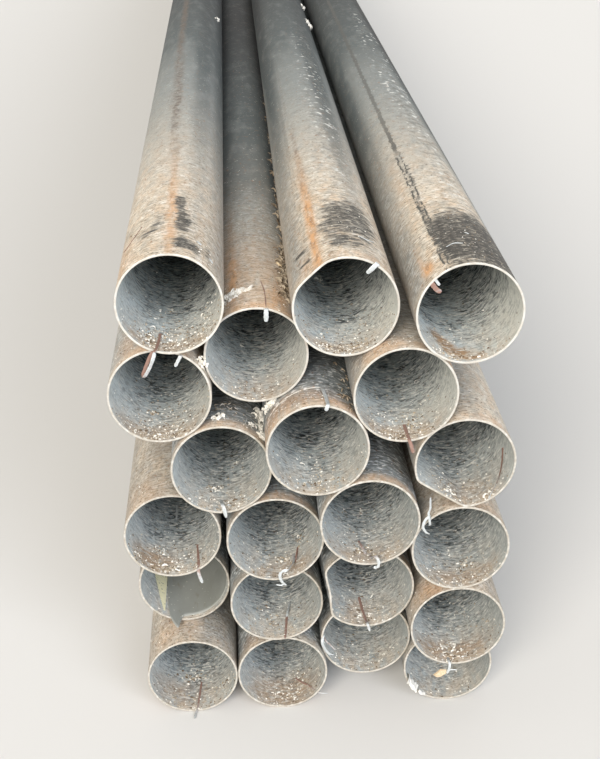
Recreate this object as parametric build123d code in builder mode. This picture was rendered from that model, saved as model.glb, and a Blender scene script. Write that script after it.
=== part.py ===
from build123d import *
import math
import os

# A stack of twenty-one welded round steel tubes, all of one stock size, lying side by side along Y.
# They have rolled into six uneven rows of four, four, four, three, three and three.
# X runs across the stack, Y along the tubes from the near ends to the far ends, and Z is up.
# The origin is on the floor under the middle of the stack.

os.makedirs("parts", exist_ok=True)

# Tube stock, in millimetres
tube_od = 114.3
tube_wall = 2.5
tube_length = 6000.0

# Dust and scale between two tubes that bear on each other
seat_gap = 0.3

# Two floor tubes are spread apart by the tube that has dropped between them.
# The angle is from upright to the line of centres.
spread_angle = 68.3

# A tube that bears on the one below it leans from upright by this many degrees, + to the right
lean = {
    "tube_row2_a": -3.5,
    "tube_row2_b": -3.4,
    "tube_row2_c": -3.4,
    "tube_row2_d": -2.5,
    "tube_row3_a": -3.6,
    "tube_row3_b": -1.0,
    "tube_row3_d": -2.0,
    "tube_row4_c": -0.9,
    "tube_row5_a": -34.2,
    "tube_row6_c": 32.8,
}

# How far each tube's near end stands back from the foremost one
setback = {
    "tube_row1_a": 77.0,
    "tube_row1_b": 78.0,
    "tube_row1_c": 89.0,
    "tube_row1_d": 81.0,
    "tube_row2_a": 119.0,
    "tube_row2_b": 73.0,
    "tube_row2_c": 40.0,
    "tube_row2_d": 15.0,
    "tube_row3_a": 57.0,
    "tube_row3_b": 42.0,
    "tube_row3_c": 7.0,
    "tube_row3_d": 13.0,
    "tube_row4_a": 41.0,
    "tube_row4_b": 5.0,
    "tube_row4_c": 11.0,
    "tube_row5_a": 43.0,
    "tube_row5_b": 52.0,
    "tube_row5_c": 6.0,
    "tube_row6_a": 32.0,
    "tube_row6_b": 28.0,
    "tube_row6_c": 0.0,
}

# Tubes whose near end has been crushed: direction of the flat in degrees from +X, half its width in
# degrees, how deep it is pressed at the mouth, how far it is hollowed past flat, and how far back
# it dies out
crushed = {
    "tube_row2_c": {"angle": 188.0, "half": 42.0, "depth": 10.0, "hollow": 1.6, "reach": 150.0},
    "tube_row4_c": {"angle": 237.0, "half": 42.0, "depth": 10.0, "hollow": 0.0, "reach": 180.0},
    "tube_row6_b": {"angle": 134.0, "half": 30.0, "depth": 3.2, "hollow": 0.0, "reach": 90.0},
}
crush_steps = (0.0, 0.25, 0.5, 0.75, 1.0)

# The flat stays straight as far out as this share of its half width, and rounds off beyond it
flat_share = 0.55

# Loose offcut of thin sheet lying inside the mouth of one tube
offcut_host = "tube_row2_a"
offcut_sheet = 1.0
offcut_length = 260.0
offcut_tongue = 20.0
offcut_inset = 6.0
offcut_from = 250.0
offcut_to = 410.0
tongue_left = -12.0
tongue_right = -8.0
tongue_root = 40.0

radius = tube_od / 2
bore_radius = radius - tube_wall
spacing = tube_od + seat_gap


def on_tube(low, degrees):
    """Centre of a tube that bears on one tube below, leaning from upright."""
    turn = math.radians(degrees)
    return (low[0] + spacing * math.sin(turn), low[1] + spacing * math.cos(turn))


def in_valley(left, right):
    """Centre of a tube that bears on the two tubes below it."""
    run = right[0] - left[0]
    rise = right[1] - left[1]
    apart = math.hypot(run, rise)
    up = math.sqrt(spacing**2 - (apart / 2) ** 2)
    middle = ((left[0] + right[0]) / 2, (left[1] + right[1]) / 2)
    return (middle[0] - rise / apart * up, middle[1] + run / apart * up)


def stack_centres():
    """Centre of every tube as (x, z), with the first floor tube over x = 0."""
    at = {}
    spread = 2 * spacing * math.sin(math.radians(spread_angle))
    at["tube_row1_a"] = (0.0, radius)
    at["tube_row1_b"] = (spacing, radius)
    at["tube_row1_d"] = (spacing + spread, radius)
    at["tube_row1_c"] = in_valley(at["tube_row1_b"], at["tube_row1_d"])
    for column in "abcd":
        name = f"tube_row2_{column}"
        at[name] = on_tube(at[f"tube_row1_{column}"], lean[name])
    for column in "abd":
        name = f"tube_row3_{column}"
        at[name] = on_tube(at[f"tube_row2_{column}"], lean[name])
    at["tube_row3_c"] = in_valley(at["tube_row3_b"], at["tube_row3_d"])
    at["tube_row4_a"] = in_valley(at["tube_row3_a"], at["tube_row3_b"])
    at["tube_row4_b"] = in_valley(at["tube_row4_a"], at["tube_row3_c"])
    at["tube_row4_c"] = on_tube(at["tube_row3_d"], lean["tube_row4_c"])
    at["tube_row5_a"] = on_tube(at["tube_row4_a"], lean["tube_row5_a"])
    at["tube_row5_b"] = in_valley(at["tube_row5_a"], at["tube_row4_b"])
    at["tube_row5_c"] = in_valley(at["tube_row4_b"], at["tube_row4_c"])
    at["tube_row6_a"] = in_valley(at["tube_row5_a"], at["tube_row5_b"])
    at["tube_row6_b"] = in_valley(at["tube_row5_b"], at["tube_row5_c"])
    at["tube_row6_c"] = on_tube(at["tube_row5_c"], lean["tube_row6_c"])
    return at


def polar(centre, reach, degrees):
    """A point at a distance and a direction from a tube's centre."""
    turn = math.radians(degrees)
    return (centre[0] + reach * math.cos(turn), centre[1] + reach * math.sin(turn))


centres = stack_centres()
left_side = min(x for x, z in centres.values()) - radius
right_side = max(x for x, z in centres.values()) + radius
middle_x = (left_side + right_side) / 2
stack_top = max(z for x, z in centres.values()) + radius
near_y = -(tube_length + max(setback.values())) / 2


def place(name):
    """Centre of a tube in the part's own frame, as (x, z)."""
    x, z = centres[name]
    return (x - middle_x, z)


def plane_at(y):
    """Upright plane across the stack at a distance y, drawn on in x and z."""
    return Plane.XZ.offset(-y)


def save(part, name):
    """Label a finished piece and write it to its file."""
    part.label = name
    export_step(part, f"parts/{name}.step")


def plain_tube(name):
    """A straight tube with both ends sawn square."""
    front = near_y + setback[name]
    with BuildPart() as tube:
        with BuildSketch(plane_at(front)):
            with Locations(place(name)):
                Circle(radius)
                Circle(bore_radius, mode=Mode.SUBTRACT)
        extrude(amount=-tube_length)
    save(tube.part, name)


def crushed_outline(centre, wall_radius, crush, share):
    """Draw a tube wall that is pressed in on one side by a share of its full depth."""
    start = crush["angle"] + crush["half"]
    end = crush["angle"] - crush["half"]
    CenterArc(centre, wall_radius, start, 360 - 2 * crush["half"])
    if share == 0:
        CenterArc(centre, wall_radius, start, -2 * crush["half"])
        return
    flat = wall_radius - crush["depth"] * share
    middle = flat - crush["hollow"] * share
    shoulder = crush["half"] * flat_share
    beside = min(flat / math.cos(math.radians(shoulder)), wall_radius)
    beside = beside * share + wall_radius * (1 - share)
    Spline(
        polar(centre, wall_radius, start),
        polar(centre, beside, crush["angle"] + shoulder),
        polar(centre, middle, crush["angle"]),
        polar(centre, beside, crush["angle"] - shoulder),
        polar(centre, wall_radius, end),
        tangents=(polar((0, 0), 1, start - 90), polar((0, 0), 1, end - 90)),
    )


def crushed_tube(name):
    """A straight tube whose near end was pressed in on one side."""
    front = near_y + setback[name]
    crush = crushed[name]
    with BuildPart() as tube:
        for wall_radius, how in ((radius, Mode.ADD), (bore_radius, Mode.SUBTRACT)):
            for step in crush_steps:
                with BuildSketch(plane_at(front + step * crush["reach"])):
                    with BuildLine():
                        crushed_outline(place(name), wall_radius, crush, (1 + math.cos(math.pi * step)) / 2)
                    make_face()
            loft(mode=how)
        with BuildSketch(plane_at(front + crush["reach"])):
            with Locations(place(name)):
                Circle(radius)
                Circle(bore_radius, mode=Mode.SUBTRACT)
        extrude(amount=-(tube_length - crush["reach"]))
    save(tube.part, name)


def sheet_offcut():
    """A curved scrap of thin sheet that lies in a tube's mouth with one tongue sticking out."""
    front = near_y + setback[offcut_host]
    x, z = place(offcut_host)
    outer = bore_radius - seat_gap
    inner = outer - offcut_sheet
    sweep_angle = offcut_to - offcut_from
    tip = front - offcut_tongue
    ahead = tip - offcut_tongue
    with BuildPart() as offcut:
        with BuildSketch(plane_at(tip)):
            with BuildLine():
                under = CenterArc((x, z), outer, offcut_from, sweep_angle)
                over = CenterArc((x, z), inner, offcut_from, sweep_angle)
                Line(under @ 0, over @ 0)
                Line(under @ 1, over @ 1)
            make_face()
        extrude(amount=-(offcut_tongue + offcut_length))
        with BuildSketch(Plane.XY):
            with BuildLine():
                Polyline(
                    (x + tongue_right, ahead),
                    (x + tube_od, ahead),
                    (x + tube_od, front + offcut_inset),
                    (x, front + offcut_inset),
                    (x + tongue_right, tip),
                    close=True,
                )
            make_face()
            with BuildLine():
                Polyline(
                    (x - tube_od, ahead),
                    (x + tongue_left, ahead),
                    (x + tongue_left, tip),
                    (x + outer * math.cos(math.radians(offcut_from)), front + tongue_root),
                    (x - tube_od, front + tongue_root),
                    close=True,
                )
            make_face()
        extrude(amount=stack_top, mode=Mode.SUBTRACT)
    save(offcut.part, "sheet_offcut")


for tube_name in sorted(centres):
    if tube_name in crushed:
        crushed_tube(tube_name)
    else:
        plain_tube(tube_name)
sheet_offcut()

print(f"{len(centres)} tubes, {right_side - left_side:.1f} mm wide")
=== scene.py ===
# %% [markdown]
# # A loose stack of welded steel tubes
# The object is a heap of twenty-one round steel tubes, as a stockyard keeps them: one size, six metres
# long, sawn square, and rolled together into six uneven rows. Nothing ties them. They have lain long
# enough to gather pale dust, orange rust and greasy black marks near the ends that people handle.
#
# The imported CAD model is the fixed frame. It gives each tube's place and size, and this lesson dresses
# it: finer walls with a weld bead inside, sawn lips, crushed ends, the curls of weld flash that hang
# from the cuts, the dirt, and the light.

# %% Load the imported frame
import math

import bpy
import numpy as np
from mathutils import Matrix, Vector


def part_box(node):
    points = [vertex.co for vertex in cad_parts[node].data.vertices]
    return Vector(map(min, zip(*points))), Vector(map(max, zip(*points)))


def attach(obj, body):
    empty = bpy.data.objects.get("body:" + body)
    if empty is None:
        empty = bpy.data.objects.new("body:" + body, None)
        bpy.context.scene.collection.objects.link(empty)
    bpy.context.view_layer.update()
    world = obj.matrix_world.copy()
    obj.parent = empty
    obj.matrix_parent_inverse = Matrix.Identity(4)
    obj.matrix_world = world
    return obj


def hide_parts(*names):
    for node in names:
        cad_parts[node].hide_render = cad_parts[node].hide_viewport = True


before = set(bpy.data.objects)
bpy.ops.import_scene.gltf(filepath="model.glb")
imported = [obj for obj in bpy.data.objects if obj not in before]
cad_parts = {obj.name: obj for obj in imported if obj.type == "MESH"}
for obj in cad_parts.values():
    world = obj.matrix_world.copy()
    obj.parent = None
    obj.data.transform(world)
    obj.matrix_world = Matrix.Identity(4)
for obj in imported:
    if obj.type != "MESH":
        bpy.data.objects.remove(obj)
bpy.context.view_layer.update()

scene = bpy.context.scene
scene.view_settings.view_transform = "Standard"

# %% [markdown]
# ## The camera
# The viewer stands a little over a metre in front of the near ends and looks down along the tubes. The
# mouths then show as ellipses that grow towards the top row, and each bore shows its lower wall. The
# lens is about 57.5 mm on a 36 mm frame, and there is no shift, so that the same camera
# works from any other side.

# %% Camera
picture_width = 600
picture_height = 759
focal_pixels = 1212.7
sensor = 36.0
looking_down = 26.990
turned_right = 3.358

camera_data = bpy.data.cameras.new("camera")
camera_data.sensor_width = sensor
camera_data.lens = focal_pixels / max(picture_width, picture_height) * sensor
camera_data.clip_end = 200.0
camera = bpy.data.objects.new("camera", camera_data)
camera.location = (-0.0888, -4.1918, 1.0950)
camera.rotation_euler = (math.radians(90 - looking_down), 0, math.radians(-turned_right))
scene.collection.objects.link(camera)
scene.camera = camera
print(f"lens {camera_data.lens:.2f} mm")

# %% [markdown]
# ## A helper for colours and one for nodes
# Colours are written as sRGB hex values, as a paint chart gives them, and one function turns them into
# the linear values that the renderer works in. One small function adds a node, sets its options and
# fills or links its sockets. A node given as a value is linked from its first live output.

# %% Colour and node helpers
def linear(hex_colour):
    """An sRGB hex colour as linear red, green, blue and a full alpha."""
    shares = [int(hex_colour[i : i + 2], 16) / 255 for i in (1, 3, 5)]
    return (*[s / 12.92 if s <= 0.04045 else ((s + 0.055) / 1.055) ** 2.4 for s in shares], 1.0)


def add(tree, kind, sockets=None, **options):
    """Add a node, set its options, and fill or link its sockets by name or number."""
    node = tree.nodes.new(kind)
    for option, value in options.items():
        setattr(node, option, value)
    for key, value in (sockets or {}).items():
        if isinstance(key, int):
            socket = node.inputs[key]
        else:
            socket = next(s for s in node.inputs if s.enabled and s.name == key)
        if isinstance(value, bpy.types.Node):
            value = next(s for s in value.outputs if s.enabled)
        if isinstance(value, bpy.types.NodeSocket):
            tree.links.new(value, socket)
        elif isinstance(value, str):
            socket.default_value = linear(value)
        else:
            socket.default_value = value
    return node


print("mid grey in linear light:", round(linear("#808080")[0], 3))

# %% [markdown]
# ## Floor and light
# A plain pale floor carries the stack and keeps its shadow. The light is plain and soft. The bores are
# only lit through their mouths, so a warm key lamp and a cooler fill lamp both stand low behind the
# viewer, one on each side. They are broad and far away, so that six metres of tube and the floor get
# the same light all along. The sky fills the rest evenly. Together they add up to about one on the
# floor, so that a colour renders about as it is written.

# %% Floor
floor_reach = 40.0
floor_mesh = bpy.data.meshes.new("floor")
floor_corners = [(x * floor_reach, y * floor_reach, 0.0) for x, y in ((-1, -1), (1, -1), (1, 1), (-1, 1))]
floor_mesh.from_pydata(floor_corners, [], [(0, 1, 2, 3)])
floor = bpy.data.objects.new("floor", floor_mesh)
scene.collection.objects.link(floor)

floor_paint = bpy.data.materials.new("matt pale floor")
floor_paint.use_nodes = True
floor_shader = floor_paint.node_tree.nodes["Principled BSDF"]
floor_shader.inputs["Base Color"].default_value = linear("#dedbd5")
floor_shader.inputs["Roughness"].default_value = 0.9
floor_mesh.materials.append(floor_paint)

# %% Sky and soft lamps
sky_light = 0.34
sky = bpy.data.worlds.new("soft sky")
sky.use_nodes = True
sky_tree = sky.node_tree
sky_tree.nodes.clear()
ray = add(sky_tree, "ShaderNodeLightPath")
seen = ray.outputs["Is Camera Ray"]
for other in ("Is Transmission Ray", "Is Glossy Ray"):
    seen = add(sky_tree, "ShaderNodeMath", {0: seen, 1: ray.outputs[other]}, operation="MAXIMUM")
lit = add(sky_tree, "ShaderNodeBackground", {"Color": "#eef1f4", "Strength": sky_light})
shown = add(sky_tree, "ShaderNodeBackground", {"Color": "#f2f1ee", "Strength": 1.0})
sky_mix = add(sky_tree, "ShaderNodeMixShader", {0: seen, 1: lit, 2: shown})
add(sky_tree, "ShaderNodeOutputWorld", {"Surface": sky_mix})
scene.world = sky


def soft_sun(name, from_left, height, strength, softness, colour):
    """A broad, distant lamp: degrees to the left of the viewer, degrees up, and its spread."""
    lamp = bpy.data.lights.new(name, "SUN")
    lamp.energy = strength
    lamp.angle = math.radians(softness)
    lamp.color = linear(colour)[:3]
    sun = bpy.data.objects.new(name, lamp)
    sun.rotation_euler = (math.radians(90 - height), 0, math.radians(-from_left))
    scene.collection.objects.link(sun)
    return sun


soft_sun("key", 24, 29, 3.1, 30, "#fffaf4")
soft_sun("fill", -32, 22, 2.45, 40, "#e8f0ff")
soft_sun("overhead", 90, 75, 0.6, 70, "#ffffff")
print("floor", floor_reach * 2, "m wide, lamps:", len(bpy.data.lights))

# %% [markdown]
# ## Where each tube lies
# The far end of every tube is sawn square and true, so the ring of CAD points there gives the tube's
# axis, even where the near end is crushed. The lowest y of its points is the near mouth.

# %% Read the tubes from the frame
mm = 0.001
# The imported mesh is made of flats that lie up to 0.16 mm inside the true circle, and so does the skin
tube_outside = 114.3 / 2 - 0.16
tube_wall = 2.34
tube_bore = tube_outside - tube_wall
tube_length = 6000.0

tube_nodes = sorted(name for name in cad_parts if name.startswith("tube_"))
axis = {}
for node in tube_nodes:
    low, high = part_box(node)
    ends = np.array([v.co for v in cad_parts[node].data.vertices if v.co.y > high.y - mm]) / mm
    across = (ends.min(0) + ends.max(0)) / 2
    axis[node] = (across[0], low.y / mm, across[2])
print("top row axes (x, mouth y, z) in mm:")
for node in tube_nodes[-3:]:
    print("  ", node, [round(float(v), 1) for v in axis[node]])

# %% [markdown]
# ## Facts about the welded stock
# Tube like this is rolled from strip and welded along one line (ERW). The weld pushes a bead of metal,
# the flash, out on both sides. Outside, a tool planes it off and leaves a narrow flat stripe. Inside
# it stays as a sharp ridge. Each tube has rolled to a different angle, so the seam points another way
# in each. Angles here are in degrees from +X, counted the way a clock runs backwards, seen from the
# near ends.

# %% Seam directions
seam_direction = {
    "tube_row1_a": 276,
    "tube_row1_b": 300,
    "tube_row1_c": 204,
    "tube_row1_d": 20,
    "tube_row2_a": 318,
    "tube_row2_b": 284,
    "tube_row2_c": 264,
    "tube_row2_d": 262,
    "tube_row3_a": 301,
    "tube_row3_b": 290,
    "tube_row3_c": 274,
    "tube_row3_d": 143,
    "tube_row4_a": 271,
    "tube_row4_b": 82,
    "tube_row4_c": 306,
    "tube_row5_a": 63,
    "tube_row5_b": 79,
    "tube_row5_c": 273,
    "tube_row6_a": 252,
    "tube_row6_b": 59,
    "tube_row6_c": 137,
}

# The bead is torn out of the bore for this many mm behind some mouths, where the saw pulled it off
bead_torn = {
    "tube_row1_b": 55,
    "tube_row1_c": 20,
    "tube_row2_a": 280,
    "tube_row2_b": 70,
    "tube_row3_b": 55,
    "tube_row3_c": 35,
    "tube_row4_c": 48,
}
bead_height = 0.4
bead_half = 1.8

# The direction of a dark line that a guide roller left along the outside of two tubes
line_direction = {"tube_row6_c": 117, "tube_row6_b": 134}

# Three near ends were crushed by a truck or a sling. Each is a flat pressed in towards the axis:
# its direction, its depth, how much deeper its middle is, and how far back it runs
crushed = {
    "tube_row2_c": {"direction": 188.0, "depth": 10.0, "hollow": 1.6, "reach": 150.0},
    "tube_row4_c": {"direction": 237.0, "depth": 10.0, "hollow": 0.0, "reach": 180.0},
    "tube_row6_b": {"direction": 134.0, "depth": 3.2, "hollow": 0.0, "reach": 90.0},
}
corner_softness = 1.3

# One tube was sawn part of the way round just behind its mouth and then left. The kerf runs from
# the crown of the tube down its left side and closes on the mouth
kerf_tube = "tube_row4_b"
kerf_from, kerf_to = 81.0, 205.0
kerf_behind, kerf_closes = 43.0, 12.0
kerf_half, kerf_deep = 0.8, 1.5
print(len(seam_direction), "seams,", len(crushed), "crushed ends")

# %% [markdown]
# ## The wall of one tube
# A tube wall is one closed skin: it runs along the bore, round the near lip, back along the outside
# and round the far lip. It is laid out as rings of points. The rings crowd together near the mouths,
# where the eye is close, and spread out along the length. Round the tube the points crowd at the
# seam, so that the bead has a real section. Building it from numbers like this keeps one clean closed
# mesh, which a stack of modifiers on a cylinder would not.

# %% Ring spacing
def spread(first, gap, growth, most, reach):
    """Distances from a mouth whose steps grow from one ring to the next."""
    distances = [first]
    while distances[-1] + gap < reach:
        distances.append(distances[-1] + gap)
        gap = min(gap * growth, most)
    return distances


edge_round = 0.35
outside_rings = spread(edge_round, 0.7, 1.17, 420.0, tube_length - 500.0)
bore_rings = spread(edge_round, 0.7, 1.24, 700.0, tube_length - 800.0)
far_rings = [tube_length - d for d in spread(edge_round, 1.0, 1.75, 300.0, 420.0)][::-1]


def ring_angles(seam):
    """Directions round a tube, in degrees, closer together beside the seam."""
    near = np.array([-4.2, -2.8, -1.9, -1.3, -0.65, 0, 0.65, 1.3, 1.9, 2.8, 4.2])
    round_trip = 2 * math.pi * tube_outside
    rest = np.linspace(near[-1], round_trip + near[0], 118)[1:-1]
    return seam + np.degrees(np.concatenate([near, rest]) / tube_outside)


print(len(outside_rings), "rings outside,", len(bore_rings), "in the bore,", len(ring_angles(0)), "points a ring")

# %% Shape of the wall
def turn_between(angles, direction):
    """Smallest turn in degrees from a direction to each angle."""
    return (angles - direction + 180) % 360 - 180


def wall_radius(plain_radius, angles, distance, crush):
    """Radius of the wall at each angle, pressed flat on one side where the end is crushed."""
    radius = np.full(len(angles), float(plain_radius))
    if crush is None or distance >= crush["reach"]:
        return radius
    share = (1 + math.cos(math.pi * distance / crush["reach"])) / 2
    turn = np.radians(np.clip(turn_between(angles, crush["direction"]), -75, 75))
    flat = (plain_radius - crush["depth"] * share) / np.cos(turn)
    flat -= crush["hollow"] * share * np.cos(np.clip(turn * 2.6, -math.pi / 2, math.pi / 2)) ** 2
    soft = corner_softness * share + 1e-3
    return -soft * np.logaddexp(-radius / soft, -flat / soft)


def kerf_share(node, angles, distance):
    """How deep the saw has gone at each angle of a ring, from 0 to 1."""
    if node != kerf_tube:
        return np.zeros(len(angles))
    round_from_crown = (angles - kerf_from) % 360
    middle = kerf_behind - kerf_closes * round_from_crown / (kerf_to - kerf_from)
    share = np.clip(1.6 - np.abs(distance - middle) / kerf_half, 0, 1)
    return np.where(round_from_crown < kerf_to - kerf_from, share, 0.0)


def skin_rings(node):
    """Rings of a tube's closed skin, each a radius, a distance from the mouth, and its part's name."""
    behind = outside_rings
    if node == kerf_tube:
        fine = np.arange(kerf_behind - kerf_closes - 3, kerf_behind + 3, kerf_half * 0.8).tolist()
        behind = sorted([d for d in outside_rings if not fine[0] - 1 < d < fine[-1] + 1] + fine)
    near_lip = [
        (tube_bore, edge_round, "bore"),
        (tube_bore + 0.12, 0.08, "lip"),
        (tube_bore + 0.4, 0.0, "lip"),
        (tube_outside - 0.4, 0.0, "lip"),
        (tube_outside - 0.12, 0.08, "lip"),
    ]
    far_lip = [(radius, tube_length - distance, part) for radius, distance, part in near_lip[::-1]]
    rings = [(tube_bore, d, "bore") for d in (bore_rings + far_rings)[::-1]]
    rings += near_lip[1:]
    rings += [(tube_outside, d, "outside") for d in behind + far_rings]
    rings += far_lip[:-1]
    return rings


def noise_table(seed, size):
    """Repeatable random numbers between 0 and 1."""
    return np.random.default_rng(seed).random(size)


print(len(skin_rings("")), "rings in a skin")

# %% [markdown]
# ## Dirt and painted shade on the points
# Rust, soot and dust follow no formula. They are painted as soft spots, each with a place on the tube:
# a direction, a distance from the mouth, a half width, a half length and a strength. Each point of the
# mesh keeps the sum as a number from 0 to 1, and the materials break it up with grain. So the paint
# needs no picture, and it moves with the mesh.

# %% Painted spots
# Half widths are in degrees and lengths in mm. A stripe is a spot that runs far along the tube.
soot_spots = {
    "tube_row6_a": [
        (80, 168, 8, 20, 1.25),
        (79, 138, 5, 16, 0.6),
        (76, 100, 9, 34, 1.2),
        (66, 103, 12, 9, 0.8),
        (77, 38, 10, 20, 1.15),
        (62, 33, 11, 15, 1.0),
        (115, 165, 9, 12, 0.8),
        (104, 92, 7, 18, 0.9),
        (115, 76, 10, 13, 0.7),
        (104, 132, 5, 8, 0.6),
        (44, 45, 5, 26, 0.6),
    ],
    "tube_row6_b": [
        (95, 100, 17, 66, 0.9),
        (72, 150, 24, 36, 0.8),
        (64, 100, 20, 62, 0.75),
        (84, 42, 22, 18, 0.5),
        (137, 68, 9, 5, 1.1),
        (138, 36, 10, 5, 1.0),
        (147, 54, 4, 18, 0.6),
    ],
    "tube_row6_c": [
        (92, 80, 21, 84, 1.5),
        (64, 70, 19, 92, 1.9),
        (107, 76, 9, 70, 1.25),
        (44, 70, 14, 70, 1.7),
        (118, 150, 4, 110, 0.8),
        (113, 300, 4, 60, 0.7),
        (112, 480, 4, 40, 0.5),
    ],
    "tube_row5_b": [(60, 20, 12, 12, 0.3), (140, 30, 9, 60, 0.5)],
    "tube_row4_a": [(75, 60, 30, 34, 0.7)],
}
rust_spots = {
    "tube_row6_a": [
        (88, 110, 7, 120, 0.9),
        (91, 300, 5, 130, 0.7),
        (98, 640, 6, 260, 1.0),
        (106, 1250, 6, 560, 1.0),
        (150, 30, 20, 70, 0.5),
        (262, 12, 60, 14, 0.8),
    ],
    "tube_row6_b": [
        (121, 150, 6, 240, 1.4),
        (122, 440, 3, 130, 0.4),
        (127, 720, 3, 200, 0.3),
        (132, 20, 16, 26, 0.5),
        (70, 10, 40, 10, 0.4),
        (262, 14, 50, 12, 0.7),
    ],
    "tube_row6_c": [(137, 30, 8, 14, 1.3), (143, 50, 4, 30, 0.5), (128, 320, 7, 90, 0.3), (243, 56, 8, 12, 1.6),
        (251, 36, 11, 14, 2.0), (261, 22, 13, 11, 2.0), (276, 11, 15, 7, 1.4)],
    "tube_row5_a": [(123, 30, 26, 50, 0.35), (90, 12, 30, 10, 0.4), (262, 14, 70, 16, 0.6)],
    "tube_row5_b": [(114, 70, 8, 90, 0.7), (118, 210, 9, 150, 0.35), (64, 40, 14, 60, 0.6), (90, 8, 50, 8, 0.4), (90, 80, 44, 130, 0.3),
        (280, 20, 40, 40, 0.4)],
    "tube_row5_c": [(118, 14, 25, 20, 0.7), (60, 8, 40, 9, 0.3), (262, 14, 60, 16, 0.7)],
    "tube_row4_a": [(80, 8, 60, 9, 0.4)],
    "tube_row4_b": [(140, 18, 75, 26, 0.6), (60, 10, 30, 10, 0.5)],
    "tube_row4_c": [(70, 8, 50, 9, 0.35), (280, 20, 40, 30, 0.5)],
    "tube_row3_a": [(128, 20, 30, 30, 0.3), (238, 22, 34, 24, 1.0)],
    "tube_row3_b": [(85, 8, 60, 8, 0.5), (285, 16, 40, 18, 0.7)],
    "tube_row3_c": [(80, 7, 60, 8, 0.5), (268, 14, 50, 16, 0.6)],
    "tube_row3_d": [(60, 8, 40, 9, 0.3), (280, 16, 50, 16, 0.7)],
    "tube_row2_c": [(60, 8, 50, 9, 0.3), (262, 20, 16, 30, 0.6)],
    "tube_row2_d": [(118, 16, 34, 20, 0.6), (265, 18, 60, 22, 0.9)],
    "tube_row1_a": [(118, 30, 24, 30, 0.3), (86, 30, 12, 30, 0.2), (235, 26, 50, 26, 0.6)],
    "tube_row1_b": [(125, 18, 24, 20, 0.35), (270, 24, 60, 34, 0.8)],
}
line_spots = {
    "tube_row6_c": [(117, 130, 30, 330, 1.0), (117, 1200, 30, 1400, 1.0)],
    "tube_row6_b": [(134, 400, 20, 900, 0.35)],
}
# Grime spots also paint shade on flanks and hollows that lie in the shadow of the tubes beside them
grime_and_shade_spots = {
    "tube_row6_a": [(20, 600, 22, 900, 0.3), (60, 850, 16, 700, 0.3)],
    "tube_row6_b": [(152, 700, 18, 1200, 0.4), (62, 700, 16, 640, 0.45)],
    "tube_row6_c": [(160, 400, 22, 700, 0.5), (34, 1400, 22, 1000, 1.3), (28, 200, 13, 420, 0.7)],
    "tube_row5_b": [(40, 900, 16, 900, 0.5)],
    "tube_row5_a": [(140, 60, 36, 90, 0.35)],
    "tube_row4_b": [(66, 40, 16, 30, 0.3)],
    "tube_row4_c": [(175, 3100, 60, 3080, 0.8), (100, 190, 34, 150, 0.4)],
    "tube_row3_a": [(40, 3100, 60, 3080, 0.8)],
    "tube_row3_d": [(175, 3100, 60, 3080, 0.8)],
    "tube_row1_a": [(60, 3100, 50, 3080, 0.6)],
}

# Dried splashes of mud and wax lie on the right flanks of the top row, as low wrinkles with painted glints and painted
# shade
splash_and_glint_spots = {
    "tube_row6_a": [(95, 1000, 60, 760, 0.25)],
    "tube_row6_b": [(72, 620, 22, 560, 0.85), (95, 1000, 60, 760, 0.2)],
    "tube_row6_c": [(71, 760, 22, 640, 0.95), (95, 1000, 60, 760, 0.2)],
}

# Grime also thickens along each tube, and so does painted shade: farther from the mouth the light fades, and the
# hollows lie in shadow.
# Stops are mm behind the mouth and how thick it lies there
top_grime_and_shade = [(200, 0), (300, 0.08), (400, 0.22), (550, 0.42), (700, 0.56), (900, 0.71), (1150, 1.08),
    (1500, 1.6), (1800, 1.8), (5500, 1.6), (6000, 0.5)]
side_grime_and_shade = [(0, 0.05), (400, 0.2), (1200, 0.8), (2500, 1.3), (5500, 1.3), (6000, 0.5)]
hollow_grime_and_shade = [(0, 0.5), (25, 0.88), (160, 0.95), (400, 1.05), (1000, 1.3), (3000, 1.5), (5500, 1.4), (6000, 0.5)]
grime_and_shade_along = {
    "tube_row6_a": top_grime_and_shade,
    "tube_row6_b": top_grime_and_shade,
    "tube_row6_c": top_grime_and_shade,
    "tube_row5_a": [(0, 0.1), (300, 0.5), (1500, 1.1), (5500, 1.3), (6000, 0.5)],
    "tube_row5_b": [(20, 0.15), (120, 0.3), (200, 0.45), (300, 0.62), (400, 0.8), (550, 0.9), (700, 0.98),
        (900, 1.2), (1150, 1.6), (1500, 2.0), (5500, 1.8), (6000, 0.5)],
    "tube_row5_c": [(0, 0.3), (300, 0.7), (1500, 1.1), (5500, 1.3), (6000, 0.5)],
    "tube_row4_c": side_grime_and_shade,
    "tube_row3_a": side_grime_and_shade,
    "tube_row3_d": side_grime_and_shade,
    "tube_row2_d": side_grime_and_shade,
    "tube_row1_a": side_grime_and_shade,
}


def painted(spots, angles, distance):
    """Sum of soft spots on one ring of points."""
    total = np.zeros(len(angles))
    for direction, middle, half_wide, half_long, strength in spots:
        across = turn_between(angles, direction) / half_wide
        along = (distance - middle) / half_long
        total += strength * np.exp(-((across**2 + along**2) ** 1.6))
    return total


print(sum(len(s) for s in soot_spots.values()), "soot spots,", sum(len(s) for s in rust_spots.values()), "rust spots")

# %% [markdown]
# ## Build the twenty-one skins
# Every point also keeps where it is on its own tube: the place from the tube's axis, shifted by a
# different amount for each tube so that no two share a pattern, the arc from the seam in mm, and the
# distance from the nearer mouth in mm.

# %% Tube builder
part_slots = {"outside": 0, "bore": 1, "lip": 2}
pattern_shift = 7.3


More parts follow.
